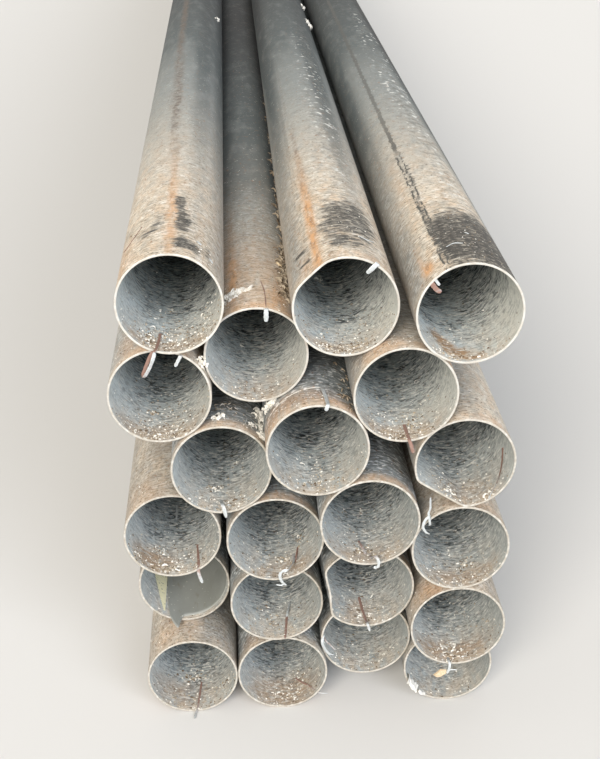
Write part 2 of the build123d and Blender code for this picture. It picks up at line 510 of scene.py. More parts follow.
def tube_skin(node, number):
    """The closed skin of one tube as a mesh, with its painted numbers."""
    x, y, z = axis[node]
    seam = seam_direction[node]
    angles = ring_angles(seam)
    crush = crushed.get(node)
    rings = skin_rings(node)
    count = len(angles)
    arc = np.radians(turn_between(angles, seam)) * tube_outside
    line = np.radians(turn_between(angles, line_direction.get(node, seam))) * tube_outside
    bead = bead_height * np.exp(-((arc / bead_half) ** 2))
    torn = bead_torn.get(node, 0)
    burr = noise_table(number, (len(rings), count))
    points, local, seam_arc, line_arc, mouth = [], [], [], [], []
    spots = {
        "rust": rust_spots.get(node, []),
        "soot": soot_spots.get(node, []),
        "line": line_spots.get(node, []),
        "grime_and_shade": grime_and_shade_spots.get(node, []),
        "splash_and_glint": splash_and_glint_spots.get(node, []),
    }
    along = np.array(grime_and_shade_along.get(node, hollow_grime_and_shade), float)
    paint = {kind: [] for kind in (*spots, "bright")}
    for row, (plain, distance, part) in enumerate(rings):
        radius = wall_radius(plain, angles, distance, crush)
        if part == "bore" and distance > torn:
            radius = radius - bead * min(1.0, (distance - torn) / 6)
        if part == "outside":
            radius = radius - 0.15 * np.exp(-((arc / 3.0) ** 4))
            radius = radius - kerf_deep * kerf_share(node, angles, distance)
        inwards = 0.25 * burr[row] if part == "lip" else np.zeros(count)
        if distance > tube_length / 2:
            inwards = -inwards
        turn = np.radians(angles)
        ring = np.stack([radius * np.cos(turn), distance + inwards, radius * np.sin(turn)], axis=1)
        local.append(ring)
        points.append(ring + (x, y, z))
        seam_arc.append(arc)
        line_arc.append(line)
        mouth.append(np.full(count, min(distance, tube_length - distance)))
        for kind, places in spots.items():
            amount = painted(places, angles, distance)
            if kind == "grime_and_shade":
                amount += np.interp(distance, along[:, 0], along[:, 1])
            paint[kind].append(np.clip(amount, 0, 2))
        paint["bright"].append(kerf_share(node, angles, distance))
    here = np.arange(len(rings) * count).reshape(len(rings), count)
    onward = np.roll(here, -1, axis=0)
    beside = np.roll(here, -1, axis=1)
    across = np.roll(onward, -1, axis=1)
    faces = np.stack([here, beside, across, onward], axis=2).reshape(-1, 4)
    mesh = bpy.data.meshes.new(node)
    mesh.from_pydata((np.concatenate(points) * mm).tolist(), [], faces.tolist())
    paint.update({"seam_arc": seam_arc, "line_arc": line_arc, "mouth": mouth})
    for name, rows in paint.items():
        attribute = mesh.attributes.new(name, "FLOAT", "POINT")
        attribute.data.foreach_set("value", np.concatenate(rows).astype(np.float32))
    place = mesh.attributes.new("place", "FLOAT_VECTOR", "POINT")
    shifted = np.concatenate(local) * mm + (0, number * pattern_shift, 0)
    place.data.foreach_set("vector", shifted.astype(np.float32).ravel())
    parts = []
    for row, ring in enumerate(rings):
        following = rings[(row + 1) % len(rings)]
        own = "lip" if "lip" in (ring[2], following[2]) else ring[2]
        parts += [part_slots[own]] * count
    mesh.polygons.foreach_set("material_index", parts)
    mesh.polygons.foreach_set("use_smooth", [True] * len(faces))
    mesh.update()
    return mesh


tubes = {}
for number, node in enumerate(tube_nodes):
    piece = bpy.data.objects.new(node.replace("tube_", "steel_tube_"), tube_skin(node, number))
    scene.collection.objects.link(piece)
    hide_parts(node)
    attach(piece, "root")
    tubes[node] = piece
print("faces in one tube:", len(tubes[tube_nodes[0]].data.polygons))

# %% [markdown]
# ## Patterns sized in millimetres
# All grain comes from noise that is read in the tube's own place. The place is divided by the size of
# the pattern, round the tube and along it, so each pattern is as large as the real thing. Noise hovers
# about a half: a window from 0.45 to 0.6 keeps nearly half the surface, one from 0.62 to 0.66 only
# scattered spots.

# %% Pattern and layer helpers
def patches(tree, place, across, along, low, high, detail=3.0):
    """A mask of patches, sized in mm round and along the tube, from 0 under low to 1 over high."""
    scale = (1 / (across * mm), 1 / (along * mm), 1 / (across * mm))
    sized = add(tree, "ShaderNodeVectorMath", {0: place, 1: scale}, operation="MULTIPLY")
    noise = add(tree, "ShaderNodeTexNoise", {"Vector": sized, "Scale": 1.0, "Detail": detail})
    return add(tree, "ShaderNodeMapRange", {"Value": noise, "From Min": low, "From Max": high})


def combine(tree, how, *masks):
    """Masks joined two at a time by a sum such as MULTIPLY or MAXIMUM."""
    joined = masks[0]
    for mask in masks[1:]:
        joined = add(tree, "ShaderNodeMath", {0: joined, 1: mask}, operation=how)
    return joined


def between(tree, value, start, stop, bottom=0.0, top=1.0):
    """A value turned into a mask that goes from bottom at start to top at stop."""
    sockets = {"Value": value, "From Min": start, "From Max": stop, "To Min": bottom, "To Max": top}
    return add(tree, "ShaderNodeMapRange", sockets)


def lay_over(tree, finish, mask, colour, roughness, metallic):
    """One finish laid over another where a mask shows it."""
    laid = {}
    for socket, value in (("Base Color", colour), ("Roughness", roughness), ("Metallic", metallic)):
        kind = "RGBA" if socket == "Base Color" else "FLOAT"
        sockets = {"Factor": mask, "A": finish[socket], "B": value}
        laid[socket] = add(tree, "ShaderNodeMix", sockets, data_type=kind)
    return laid


def finished(material, finish, height, depth):
    """Link a finish to the material's shader, with a bump whose full height is depth in mm."""
    tree = material.node_tree
    shader = tree.nodes["Principled BSDF"]
    for socket, value in finish.items():
        tree.links.new(next(s for s in value.outputs if s.enabled), shader.inputs[socket])
    bump = add(tree, "ShaderNodeBump", {"Height": height, "Distance": depth * mm})
    tree.links.new(bump.outputs["Normal"], shader.inputs["Normal"])
    return material


def blank(name):
    """A new material with its node tree, ready to build."""
    material = bpy.data.materials.new(name)
    material.use_nodes = True
    return material, material.node_tree


def painted_number(tree, name):
    """The number that the mesh keeps under a name."""
    return add(tree, "ShaderNodeAttribute", attribute_name=name).outputs["Fac"]


print("helpers ready")

# %% [markdown]
# ## Mild steel, mill finish, left in the open
# Hot rolled strip has a thin grey oxide skin, which the forming rolls polish in long streaks. That
# gives a satin grey with a soft sheen along the tube. Stored outdoors it gathers pale dust on the side
# that faces up, most of all near the ends that are walked past and handled, and rust starts as orange
# patches and runs. Metallic stays near half, because bare steel, oxide and dust share the surface at a
# scale too fine to draw.

# %% Outside of the tubes
steel_outside, tree = blank("ERW mild steel, mill finish, weathered")
place = add(tree, "ShaderNodeAttribute", attribute_name="place").outputs["Vector"]
mouth = painted_number(tree, "mouth")
facing = add(tree, "ShaderNodeSeparateXYZ", {0: add(tree, "ShaderNodeNewGeometry").outputs["Normal"]})
upward = between(tree, facing.outputs["Z"], -0.35, 0.75)
near = between(tree, mouth, 1300.0, 250.0)

finish = {"Base Color": "#a09f9a", "Roughness": 0.45, "Metallic": 0.45}
oxide = patches(tree, place, 26, 240, 0.38, 0.70)
finish = lay_over(tree, finish, combine(tree, "MULTIPLY", oxide, 0.35), "#6d6f6d", 0.55, 0.35)
streaks = patches(tree, place, 4, 600, 0.44, 0.62, 5.0)
finish = lay_over(tree, finish, combine(tree, "MULTIPLY", streaks, 0.25), "#bab6aa", 0.5, 0.4)

# Dust lies where the surface faces up: a film nearly all over, and a thick coat near the mouths
film = patches(tree, place, 18, 26, 0.12, 0.50, 5.0)
film = combine(tree, "MULTIPLY", film, upward, between(tree, near, 0.0, 1.0, 0.6, 1.0))
finish = lay_over(tree, finish, film, "#e2d6c2", 0.85, 0.0)
warm = patches(tree, place, 12, 30, 0.42, 0.62, 4.0)
warm = combine(tree, "MULTIPLY", warm, film, between(tree, near, 0.0, 1.0, 0.2, 0.5))
finish = lay_over(tree, finish, warm, "#dfc19f", 0.85, 0.0)
pale = patches(tree, place, 9, 10, 0.52, 0.64, 6.0)
pale = combine(tree, "MULTIPLY", pale, film, between(tree, near, 0.0, 1.0, 0.1, 0.9))
finish = lay_over(tree, finish, pale, "#f3eadb", 0.85, 0.0)

# Farther in the dust thins to a cool grey film
thinned = combine(tree, "MULTIPLY", between(tree, mouth, 220.0, 750.0, 0.0, 0.7), upward)
finish = lay_over(tree, finish, thinned, "#b3bbba", 0.65, 0.1)

# The dust of the top row was wiped across the tubes by hands and slings, which left fine cross ripples
# near the mouths. Lower down nobody wipes it: it is speckled, and splashed by the ground
above_floor = add(tree, "ShaderNodeSeparateXYZ", {0: add(tree, "ShaderNodeNewGeometry").outputs["Position"]})
upstairs = between(tree, above_floor.outputs["Z"], 0.50, 0.56)
downstairs = between(tree, above_floor.outputs["Z"], 0.44, 0.34)
wiped = patches(tree, place, 10, 2.6, 0.47, 0.60, 4.0)
speckled = patches(tree, place, 4.5, 4.5, 0.50, 0.60, 5.0)
wiped = combine(tree, "MAXIMUM", combine(tree, "MULTIPLY", wiped, upstairs),
    combine(tree, "MULTIPLY", speckled, downstairs))
wiped = combine(tree, "MULTIPLY", wiped, between(tree, mouth, 520.0, 120.0), 0.62)
finish = lay_over(tree, finish, wiped, "#9c8a70", 0.8, 0.05)
mud = patches(tree, place, 22, 30, 0.30, 0.60, 5.0)
mud = combine(tree, "MULTIPLY", mud, downstairs, 0.5)
finish = lay_over(tree, finish, mud, "#8d857b", 0.85, 0.0)

pits = patches(tree, place, 4.0, 2.4, 0.56, 0.66, 4.0)
pits = combine(tree, "MULTIPLY", pits, between(tree, mouth, 700.0, 60.0, 0.25, 0.7))
finish = lay_over(tree, finish, pits, "#7d6a54", 0.85, 0.0)

# Grime and painted shade: the blue grey of the lengths farther in and of the hollows between tubes, behind a dusty lip,
# is part dirt and part painted shade. It lies evenly, and where it is painted thick a second coat of painted shade is
# nearly black
painted_grime_and_shade = combine(tree, "MULTIPLY", painted_number(tree, "grime_and_shade"), between(tree, mouth, 4.0, 22.0, 0.2, 1.0))
even = patches(tree, place, 16, 60, -0.9, 0.5, 4.0)
grime_and_shade = combine(tree, "MULTIPLY", combine(tree, "MINIMUM", painted_grime_and_shade, 1.0), even)
finish = lay_over(tree, finish, grime_and_shade, "#505655", 0.7, 0.15)
dark_coat_and_shade = combine(tree, "MULTIPLY", between(tree, painted_grime_and_shade, 1.0, 2.0), even)
finish = lay_over(tree, finish, dark_coat_and_shade, "#202121", 0.75, 0.05)
# Grey scuffs in the grime near the mouths, pale enough to be painted light in the shaded hollows; then fine white
# scuffs
scuffs_and_painted_light = patches(tree, place, 9, 4.0, 0.32, 0.56, 6.0)
scuffs_and_painted_light = combine(tree, "MULTIPLY", scuffs_and_painted_light, grime_and_shade, between(tree, mouth, 420.0, 80.0, 0.0, 0.9))
finish = lay_over(tree, finish, scuffs_and_painted_light, "#a0a6a6", 0.65, 0.1)
scuffs_and_painted_light = patches(tree, place, 8, 3.6, 0.55, 0.61, 6.0)
scuffs_and_painted_light = combine(tree, "MULTIPLY", scuffs_and_painted_light, grime_and_shade, between(tree, mouth, 420.0, 80.0, 0.0, 0.9))
finish = lay_over(tree, finish, scuffs_and_painted_light, "#eceeeb", 0.6, 0.1)

# Dried splashes stand up as low wrinkles, 11 mm by 14 mm: painted shade in their dips and painted glints on their
# glossy crests
shifted = add(tree, "ShaderNodeVectorMath", {0: place, 1: (0.31, 0.17, 0.23)}, operation="ADD")
splash_and_glint = painted_number(tree, "splash_and_glint")
wrinkles = patches(tree, shifted, 11, 14, 0.30, 0.70, 3.0)
painted_dip_shade = combine(tree, "MULTIPLY", between(tree, wrinkles, 0.48, 0.22), splash_and_glint, 0.55)
finish = lay_over(tree, finish, painted_dip_shade, "#67675f", 0.6, 0.1)
crests = combine(tree, "MULTIPLY", between(tree, wrinkles, 0.76, 0.88), between(tree, splash_and_glint, 0.3, 0.8), 0.8)
finish = lay_over(tree, finish, crests, "#dfddd4", 0.35, 0.1)

# Rust: a thin scatter everywhere, and the painted runs
freckles = patches(tree, place, 5, 9, 0.62, 0.72, 4.0)
freckles = combine(tree, "MULTIPLY", freckles, between(tree, near, 0.0, 1.0, 0.15, 0.6))
finish = lay_over(tree, finish, freckles, "#9c7556", 0.9, 0.0)
rust_grain = patches(tree, place, 7, 30, 0.22, 0.55, 5.0)
rust = combine(tree, "MULTIPLY", painted_number(tree, "rust"), rust_grain)
farther = between(tree, mouth, 180.0, 480.0)
rust_film = combine(tree, "MULTIPLY", rust, between(tree, farther, 0.0, 1.0, 0.75, 0.08))
finish = lay_over(tree, finish, rust_film, "#d9a97a", 0.9, 0.0)
stipple = patches(tree, place, 5, 10, 0.42, 0.60, 5.0)
aged = combine(tree, "MULTIPLY", rust, farther, between(tree, stipple, 0.0, 1.0, 0.3, 0.9))
finish = lay_over(tree, finish, aged, "#62584f", 0.9, 0.0)
deep_grain = patches(tree, place, 5, 14, 0.50, 0.66, 5.0)
deep_rust = combine(tree, "MULTIPLY", rust, deep_grain, between(tree, farther, 0.0, 1.0, 0.5, 0.12))
finish = lay_over(tree, finish, deep_rust, "#8f6f52", 0.9, 0.0)

# Soot and grease: a thin grey film with a torn edge, and darker strokes rubbed over it. The strokes run
# round the tube, and along it close to the mouth
weight = patches(tree, place, 17, 7, 0.28, 0.68, 6.0)
soot = combine(tree, "ADD", painted_number(tree, "soot"), between(tree, weight, 0.0, 1.0, -0.75, 0.3))
soot_film = between(tree, soot, 0.1, 0.75, 0.0, 0.8)
finish = lay_over(tree, finish, soot_film, "#6f6b62", 0.6, 0.0)
thick = patches(tree, place, 5, 46, 0.34, 0.60, 4.0)
thick = combine(tree, "MULTIPLY", between(tree, soot, 0.7, 1.4, 0.0, 0.95), between(tree, thick, 0.0, 1.0, 0.5, 1.0))
finish = lay_over(tree, finish, thick, "#3b3731", 0.6, 0.0)
strokes = patches(tree, place, 7, 3.4, 0.42, 0.56, 6.0)
rubbed = patches(tree, place, 3.4, 40, 0.46, 0.58, 4.0)
rubbed = combine(tree, "MULTIPLY", rubbed, between(tree, mouth, 110.0, 50.0))
strokes = combine(tree, "MAXIMUM", strokes, rubbed)
strokes = combine(tree, "MULTIPLY", between(tree, soot, 0.3, 0.7), strokes, 0.88)
finish = lay_over(tree, finish, strokes, "#33302b", 0.6, 0.0)
bright_strokes = combine(tree, "MULTIPLY", patches(tree, shifted, 8, 2.8, 0.57, 0.64, 5.0), soot_film)
bright_strokes = combine(tree, "MULTIPLY", bright_strokes, between(tree, soot, 0.8, 1.6, 1.0, 0.5))
finish = lay_over(tree, finish, bright_strokes, "#cdc4b2", 0.7, 0.0)

# The dark line: two ragged hair lines with the paint rubbed between them
ragged = patches(tree, place, 6, 14, 0.30, 0.70, 5.0)
line_arc = add(tree, "ShaderNodeMath", {0: painted_number(tree, "line_arc")}, operation="ABSOLUTE")
line_arc = combine(tree, "ADD", line_arc, between(tree, ragged, 0.0, 1.0, -1.5, 1.5))
hair = combine(tree, "MINIMUM", between(tree, line_arc, 0.7, 2.0), between(tree, line_arc, 4.6, 3.4))
broken = patches(tree, place, 4, 12, 0.42, 0.54, 4.0)
hair = combine(tree, "MULTIPLY", between(tree, hair, 0.0, 1.0, 0.2, 1.0), between(tree, line_arc, 5.0, 3.8))
hair = combine(tree, "MULTIPLY", hair, broken, between(tree, mouth, 430.0, 380.0))
single = combine(tree, "MULTIPLY", between(tree, line_arc, 3.6, 2.0), between(tree, mouth, 380.0, 430.0))
hair = combine(tree, "MULTIPLY", combine(tree, "MAXIMUM", hair, single), painted_number(tree, "line"), 0.68)
finish = lay_over(tree, finish, hair, "#514f49", 0.7, 0.0)

# Specks: dark scale and pale grit, 1 to 3 mm
specks = patches(tree, place, 3.4, 3.0, 0.64, 0.69, 2.0)
specks = combine(tree, "MULTIPLY", specks, between(tree, near, 0.0, 1.0, 0.2, 0.65))
finish = lay_over(tree, finish, specks, "#5d5244", 0.8, 0.0)
grit = patches(tree, shifted, 4.5, 3.0, 0.67, 0.72, 3.0)
grit = combine(tree, "MULTIPLY", grit, between(tree, near, 0.0, 1.0, 0.15, 0.9))
finish = lay_over(tree, finish, grit, "#efe9da", 0.8, 0.0)

# The saw kerf shows bare steel
finish = lay_over(tree, finish, between(tree, painted_number(tree, "bright"), 0.25, 0.7), "#f1ece0", 0.4, 0.2)

ripples = patches(tree, place, 12, 2.8, 0.34, 0.66, 3.0)
ripples = combine(tree, "MULTIPLY", ripples, between(tree, mouth, 700.0, 100.0, 0.15, 1.0))
ripples = combine(tree, "ADD", ripples, combine(tree, "MULTIPLY", film, 0.6))
finished(steel_outside, finish, combine(tree, "ADD", ripples, combine(tree, "MULTIPLY", wrinkles, splash_and_glint, 2.5)), 0.4)
print(steel_outside.name, len(tree.nodes), "nodes")

# %% [markdown]
# ## The bore
# Inside, the strip keeps its blue grey oxide, pitted by damp in small dark flakes that lie across the
# rolling direction. Dust washes in at the mouth and settles along the bottom. Oxide is no metal to the
# eye, so metallic is low and the surface is matt.

# %% Bore of the tubes
steel_bore, tree = blank("ERW mild steel, oxide skin of the bore")
place = add(tree, "ShaderNodeAttribute", attribute_name="place").outputs["Vector"]
mouth = painted_number(tree, "mouth")
across = add(tree, "ShaderNodeSeparateXYZ", {0: place})
right_wall_dust_and_light = between(tree, across.outputs["X"], -0.014, 0.05)
left_wall = between(tree, across.outputs["X"], -0.005, -0.048)
downward = between(tree, across.outputs["Z"], -0.012, -0.05)
height = add(tree, "ShaderNodeSeparateXYZ", {0: add(tree, "ShaderNodeNewGeometry").outputs["Position"]})

# The lower rows took the splashes from the ground, so their bores are a little darker
finish = {"Base Color": "#cbd7da", "Roughness": 0.5, "Metallic": 0.1}
smudge = patches(tree, place, 34, 60, 0.44, 0.58, 3.0)
finish = lay_over(tree, finish, combine(tree, "MULTIPLY", smudge, 0.3), "#98a2a5", 0.55, 0.1)
# The right wall is paler and warmer: dust, and painted light
finish = lay_over(tree, finish, combine(tree, "MULTIPLY", right_wall_dust_and_light, 0.95), "#dbd9cd", 0.6, 0.05)
splashed = between(tree, height.outputs["Z"], 0.52, 0.34, 0.0, 0.62)
finish = lay_over(tree, finish, splashed, "#949b9b", 0.7, 0.05)
# Painted shade: the wall darkens deeper in, less on the left wall
painted_depth_shade = combine(tree, "MULTIPLY", between(tree, mouth, 60.0, 240.0, 0.0, 0.5), between(tree, left_wall, 0.0, 1.0, 1.0, 0.2))
finish = lay_over(tree, finish, painted_depth_shade, "#7f898c", 0.65, 0.1)
# Painted light on the left wall near the mouth
painted_left_wall_light = combine(tree, "MULTIPLY", left_wall, between(tree, mouth, 260.0, 70.0))
finish = lay_over(tree, finish, combine(tree, "MULTIPLY", painted_left_wall_light, 0.6), "#e0e5e2", 0.5, 0.1)

# Dust on the bottom, thickest at the mouth, with rust under it
dust = patches(tree, place, 10, 22, 0.28, 0.58, 5.0)
dust = combine(tree, "MULTIPLY", dust, downward, between(tree, mouth, 90.0, 4.0, 0.1, 0.95))
finish = lay_over(tree, finish, dust, "#c9bba8", 0.9, 0.0)
rust = patches(tree, place, 14, 5, 0.24, 0.52, 5.0)
rust = combine(tree, "MINIMUM", combine(tree, "MULTIPLY", rust, painted_number(tree, "rust"), 0.8), 0.92)
finish = lay_over(tree, finish, rust, "#a5835f", 0.9, 0.0)

# Flakes of scale lie across the rolling direction, 3 to 5 mm round the tube and 2 mm along it. They
# crowd together in clouds. The dust of the mouth, the dust and painted light of the right wall, and the painted light
# of the left wall hide most of them
cloud = patches(tree, place, 24, 32, 0.38, 0.62, 4.0)
bare = between(tree, mouth, 8.0, 95.0, 0.0, 1.0)
hidden = combine(tree, "MULTIPLY", right_wall_dust_and_light, between(tree, mouth, 150.0, 20.0, 0.0, 0.85))
bare = combine(tree, "MULTIPLY", bare, between(tree, hidden, 0.0, 1.0, 1.0, 0.0))
bare = combine(tree, "MULTIPLY", bare, between(tree, painted_left_wall_light, 0.0, 1.0, 1.0, 0.2))
crowd = combine(tree, "MULTIPLY", between(tree, cloud, 0.0, 1.0, 0.45, 1.0), between(tree, bare, 0.0, 1.0, 0.25, 1.0))
finish = lay_over(tree, finish, combine(tree, "MULTIPLY", cloud, bare, 0.5), "#6f787b", 0.6, 0.1)
flakes = combine(tree, "MULTIPLY", patches(tree, place, 7.0, 3.6, 0.49, 0.575, 6.0), crowd)
finish = lay_over(tree, finish, flakes, "#23282b", 0.7, 0.0)
shifted = add(tree, "ShaderNodeVectorMath", {0: place, 1: (0.31, 0.17, 0.23)}, operation="ADD")
crests = patches(tree, shifted, 7.5, 3.4, 0.54, 0.62, 6.0)
crests = combine(tree, "MULTIPLY", crests, between(tree, bare, 0.0, 1.0, 0.4, 0.8))
finish = lay_over(tree, finish, crests, "#ece9df", 0.6, 0.0)
brown = patches(tree, place, 4.5, 5.5, 0.58, 0.66, 4.0)
finish = lay_over(tree, finish, combine(tree, "MULTIPLY", brown, downward, 0.5), "#7f705d", 0.9, 0.0)
grit = patches(tree, shifted, 4.0, 3.2, 0.655, 0.70, 3.0)
grit = combine(tree, "MULTIPLY", grit, between(tree, downward, 0.0, 1.0, 0.15, 1.0))
finish = lay_over(tree, finish, grit, "#ece6d8", 0.85, 0.0)

grain = patches(tree, place, 2.6, 2.6, 0.30, 0.70, 4.0)
finished(steel_bore, finish, combine(tree, "SUBTRACT", grain, flakes), 0.35)
print(steel_bore.name, len(tree.nodes), "nodes")

# %% [markdown]
# ## The sawn lip
# A bandsaw leaves a bright face with fine scratches, and handling keeps its edge clean. It is the
# only nearly bare steel on the stack, so it is the palest and shiniest finish, spotted by dust.

# %% Sawn lip
steel_lip, tree = blank("mild steel, bandsawn lip")
place = add(tree, "ShaderNodeAttribute", attribute_name="place").outputs["Vector"]
finish = {"Base Color": "#d2cfc6", "Roughness": 0.42, "Metallic": 0.3}
dull = patches(tree, place, 9, 9, 0.40, 0.58, 4.0)
finish = lay_over(tree, finish, combine(tree, "MULTIPLY", dull, 0.55), "#b3ab9b", 0.7, 0.1)

# Higher rows are handled and wiped. Lower rows keep the dust that has fallen on them
height = add(tree, "ShaderNodeSeparateXYZ", {0: add(tree, "ShaderNodeNewGeometry").outputs["Position"]})
dusty = patches(tree, place, 5, 5, 0.30, 0.60, 5.0)
dusty = combine(tree, "MULTIPLY", dusty, between(tree, height.outputs["Z"], 0.56, 0.40, 0.1, 0.8))
finish = lay_over(tree, finish, dusty, "#9d9484", 0.85, 0.0)
scratch = patches(tree, place, 0.9, 0.9, 0.35, 0.65, 2.0)
finished(steel_lip, finish, scratch, 0.08)

for piece in tubes.values():
    for material in (steel_outside, steel_bore, steel_lip):
        piece.data.materials.append(material)
print("materials on", len(tubes), "tubes")

# %% [markdown]
# ## Weld flash
# The ridge inside a welded tube is a thin, springy strip of steel. Where the saw or the planing tool
# catches it, it tears off the wall and curls out of the mouth, still tied at its root. Each curl is a
# flat strip swept along its own path, thick in the middle and thin at the edges, closed at both ends.
# A path is given in mm: right of the tube's axis, out of the mouth, and above the axis.

# %% Strip builder
def smooth(points, steps=6):
    """A smooth curve through a few points."""
    given = np.array(points, float)
    padded = np.vstack([2 * given[0] - given[1], given, 2 * given[-1] - given[-2]])
    curve = []
    for i in range(1, len(padded) - 2):
        before, start, stop, after = padded[i - 1 : i + 3]
        for t in np.linspace(0, 1, steps, endpoint=False):
            bend = (2 * before - 5 * start + 4 * stop - after) * t**2
            swing = (3 * start - before - 3 * stop + after) * t**3
            curve.append((2 * start + (stop - before) * t + bend + swing) / 2)
    return np.array(curve + [given[-1]])


def unit(vectors):
    """Vectors scaled to a length of one."""
    return vectors / np.linalg.norm(vectors, axis=-1, keepdims=True)


strip_section = ((-1.0, 0.0), (-0.6, -0.8), (0.6, -0.8), (1.0, 0.0), (0.6, 0.8), (-0.6, 0.8))


def strip(path, width, thick, side, twist, seed):
    """Points and faces of a closed strip whose flat side lies along side, turned by twist at its end."""
    ahead = unit(np.gradient(path, axis=0))
    wide = unit(np.array(side, float) - ahead * (ahead @ np.array(side, float))[:, None])
    flat = np.cross(ahead, wide)
    turn = np.radians(np.linspace(0, twist, len(path)))[:, None]
    wide, flat = np.cos(turn) * wide + np.sin(turn) * flat, np.cos(turn) * flat - np.sin(turn) * wide
    ragged = 0.88 + 0.24 * noise_table(seed, len(path))
    tip = np.minimum(1, 0.6 + 0.4 * np.arange(len(path))[::-1] / 2)
    half = (width / 2 * ragged * tip)[:, None]
    points = [path + half * a * wide + thick / 2 * b * flat for a, b in strip_section]
    points = np.stack(points, axis=1).reshape(-1, 3)
    sides = len(strip_section)
    faces = []
    for row in range(len(path) - 1):
        for k in range(sides):
            following = (k + 1) % sides
            here, there = row * sides, (row + 1) * sides
            faces.append((here + k, here + following, there + following, there + k))
    last = (len(path) - 1) * sides
    faces += [tuple(range(sides))[::-1], tuple(range(last, last + sides))]
    return points, faces


def joined(shapes):
    """Several sets of points and faces as one."""
    points, faces, count = [], [], 0
    for shape_points, shape_faces in shapes:
        points.append(shape_points)
        faces += [tuple(i + count for i in face) for face in shape_faces]
        count += len(shape_points)
    return np.concatenate(points), faces


def new_piece(name, points, faces, material, numbers=None):
    """A piece that rides with the stack, from points in mm, with its painted numbers."""
    mesh = bpy.data.meshes.new(name)
    mesh.from_pydata((points * mm).tolist(), [], faces)
    for label, values in (numbers or {}).items():
        attribute = mesh.attributes.new(label, "FLOAT", "POINT")
        attribute.data.foreach_set("value", np.array(values, np.float32))
    mesh.materials.append(material)
    mesh.update()
    piece = bpy.data.objects.new(name, mesh)
    scene.collection.objects.link(piece)
    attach(piece, "root")
    return piece


def on_tube(node, points):
    """Points given as (right, out, up) of a tube's mouth, moved to where that tube lies."""
    x, y, z = axis[node]
    return np.array([(x + right, y - out, z + up) for right, out, up in points])


print("a strip section has", len(strip_section), "points")

# %% [markdown]
# The torn strip is mild steel too. Where it left the weld it is freshly torn and nearly white, and
# toward its root it has rusted. The number rusted runs from 1 at the root to 0 at the tip.

# %% Weld flash finish
steel_flash, tree = blank("mild steel, torn weld flash")
speckle = add(tree, "ShaderNodeTexCoord").outputs["Object"]
finish = {"Base Color": "#c3c7c6", "Roughness": 0.5, "Metallic": 0.25}
rub = patches(tree, speckle, 2.5, 2.5, 0.40, 0.62, 4.0)
finish = lay_over(tree, finish, combine(tree, "MULTIPLY", rub, 0.5), "#a3a39d", 0.6, 0.2)
rusted = painted_number(tree, "rusted")
broken = patches(tree, speckle, 3.5, 3.5, 0.30, 0.60, 4.0)
rusted = between(tree, combine(tree, "ADD", rusted, combine(tree, "MULTIPLY", broken, 0.3)), 0.35, 0.75)
finish = lay_over(tree, finish, rusted, "#8d6f62", 0.85, 0.05)
finished(steel_flash, finish, rub, 0.1)

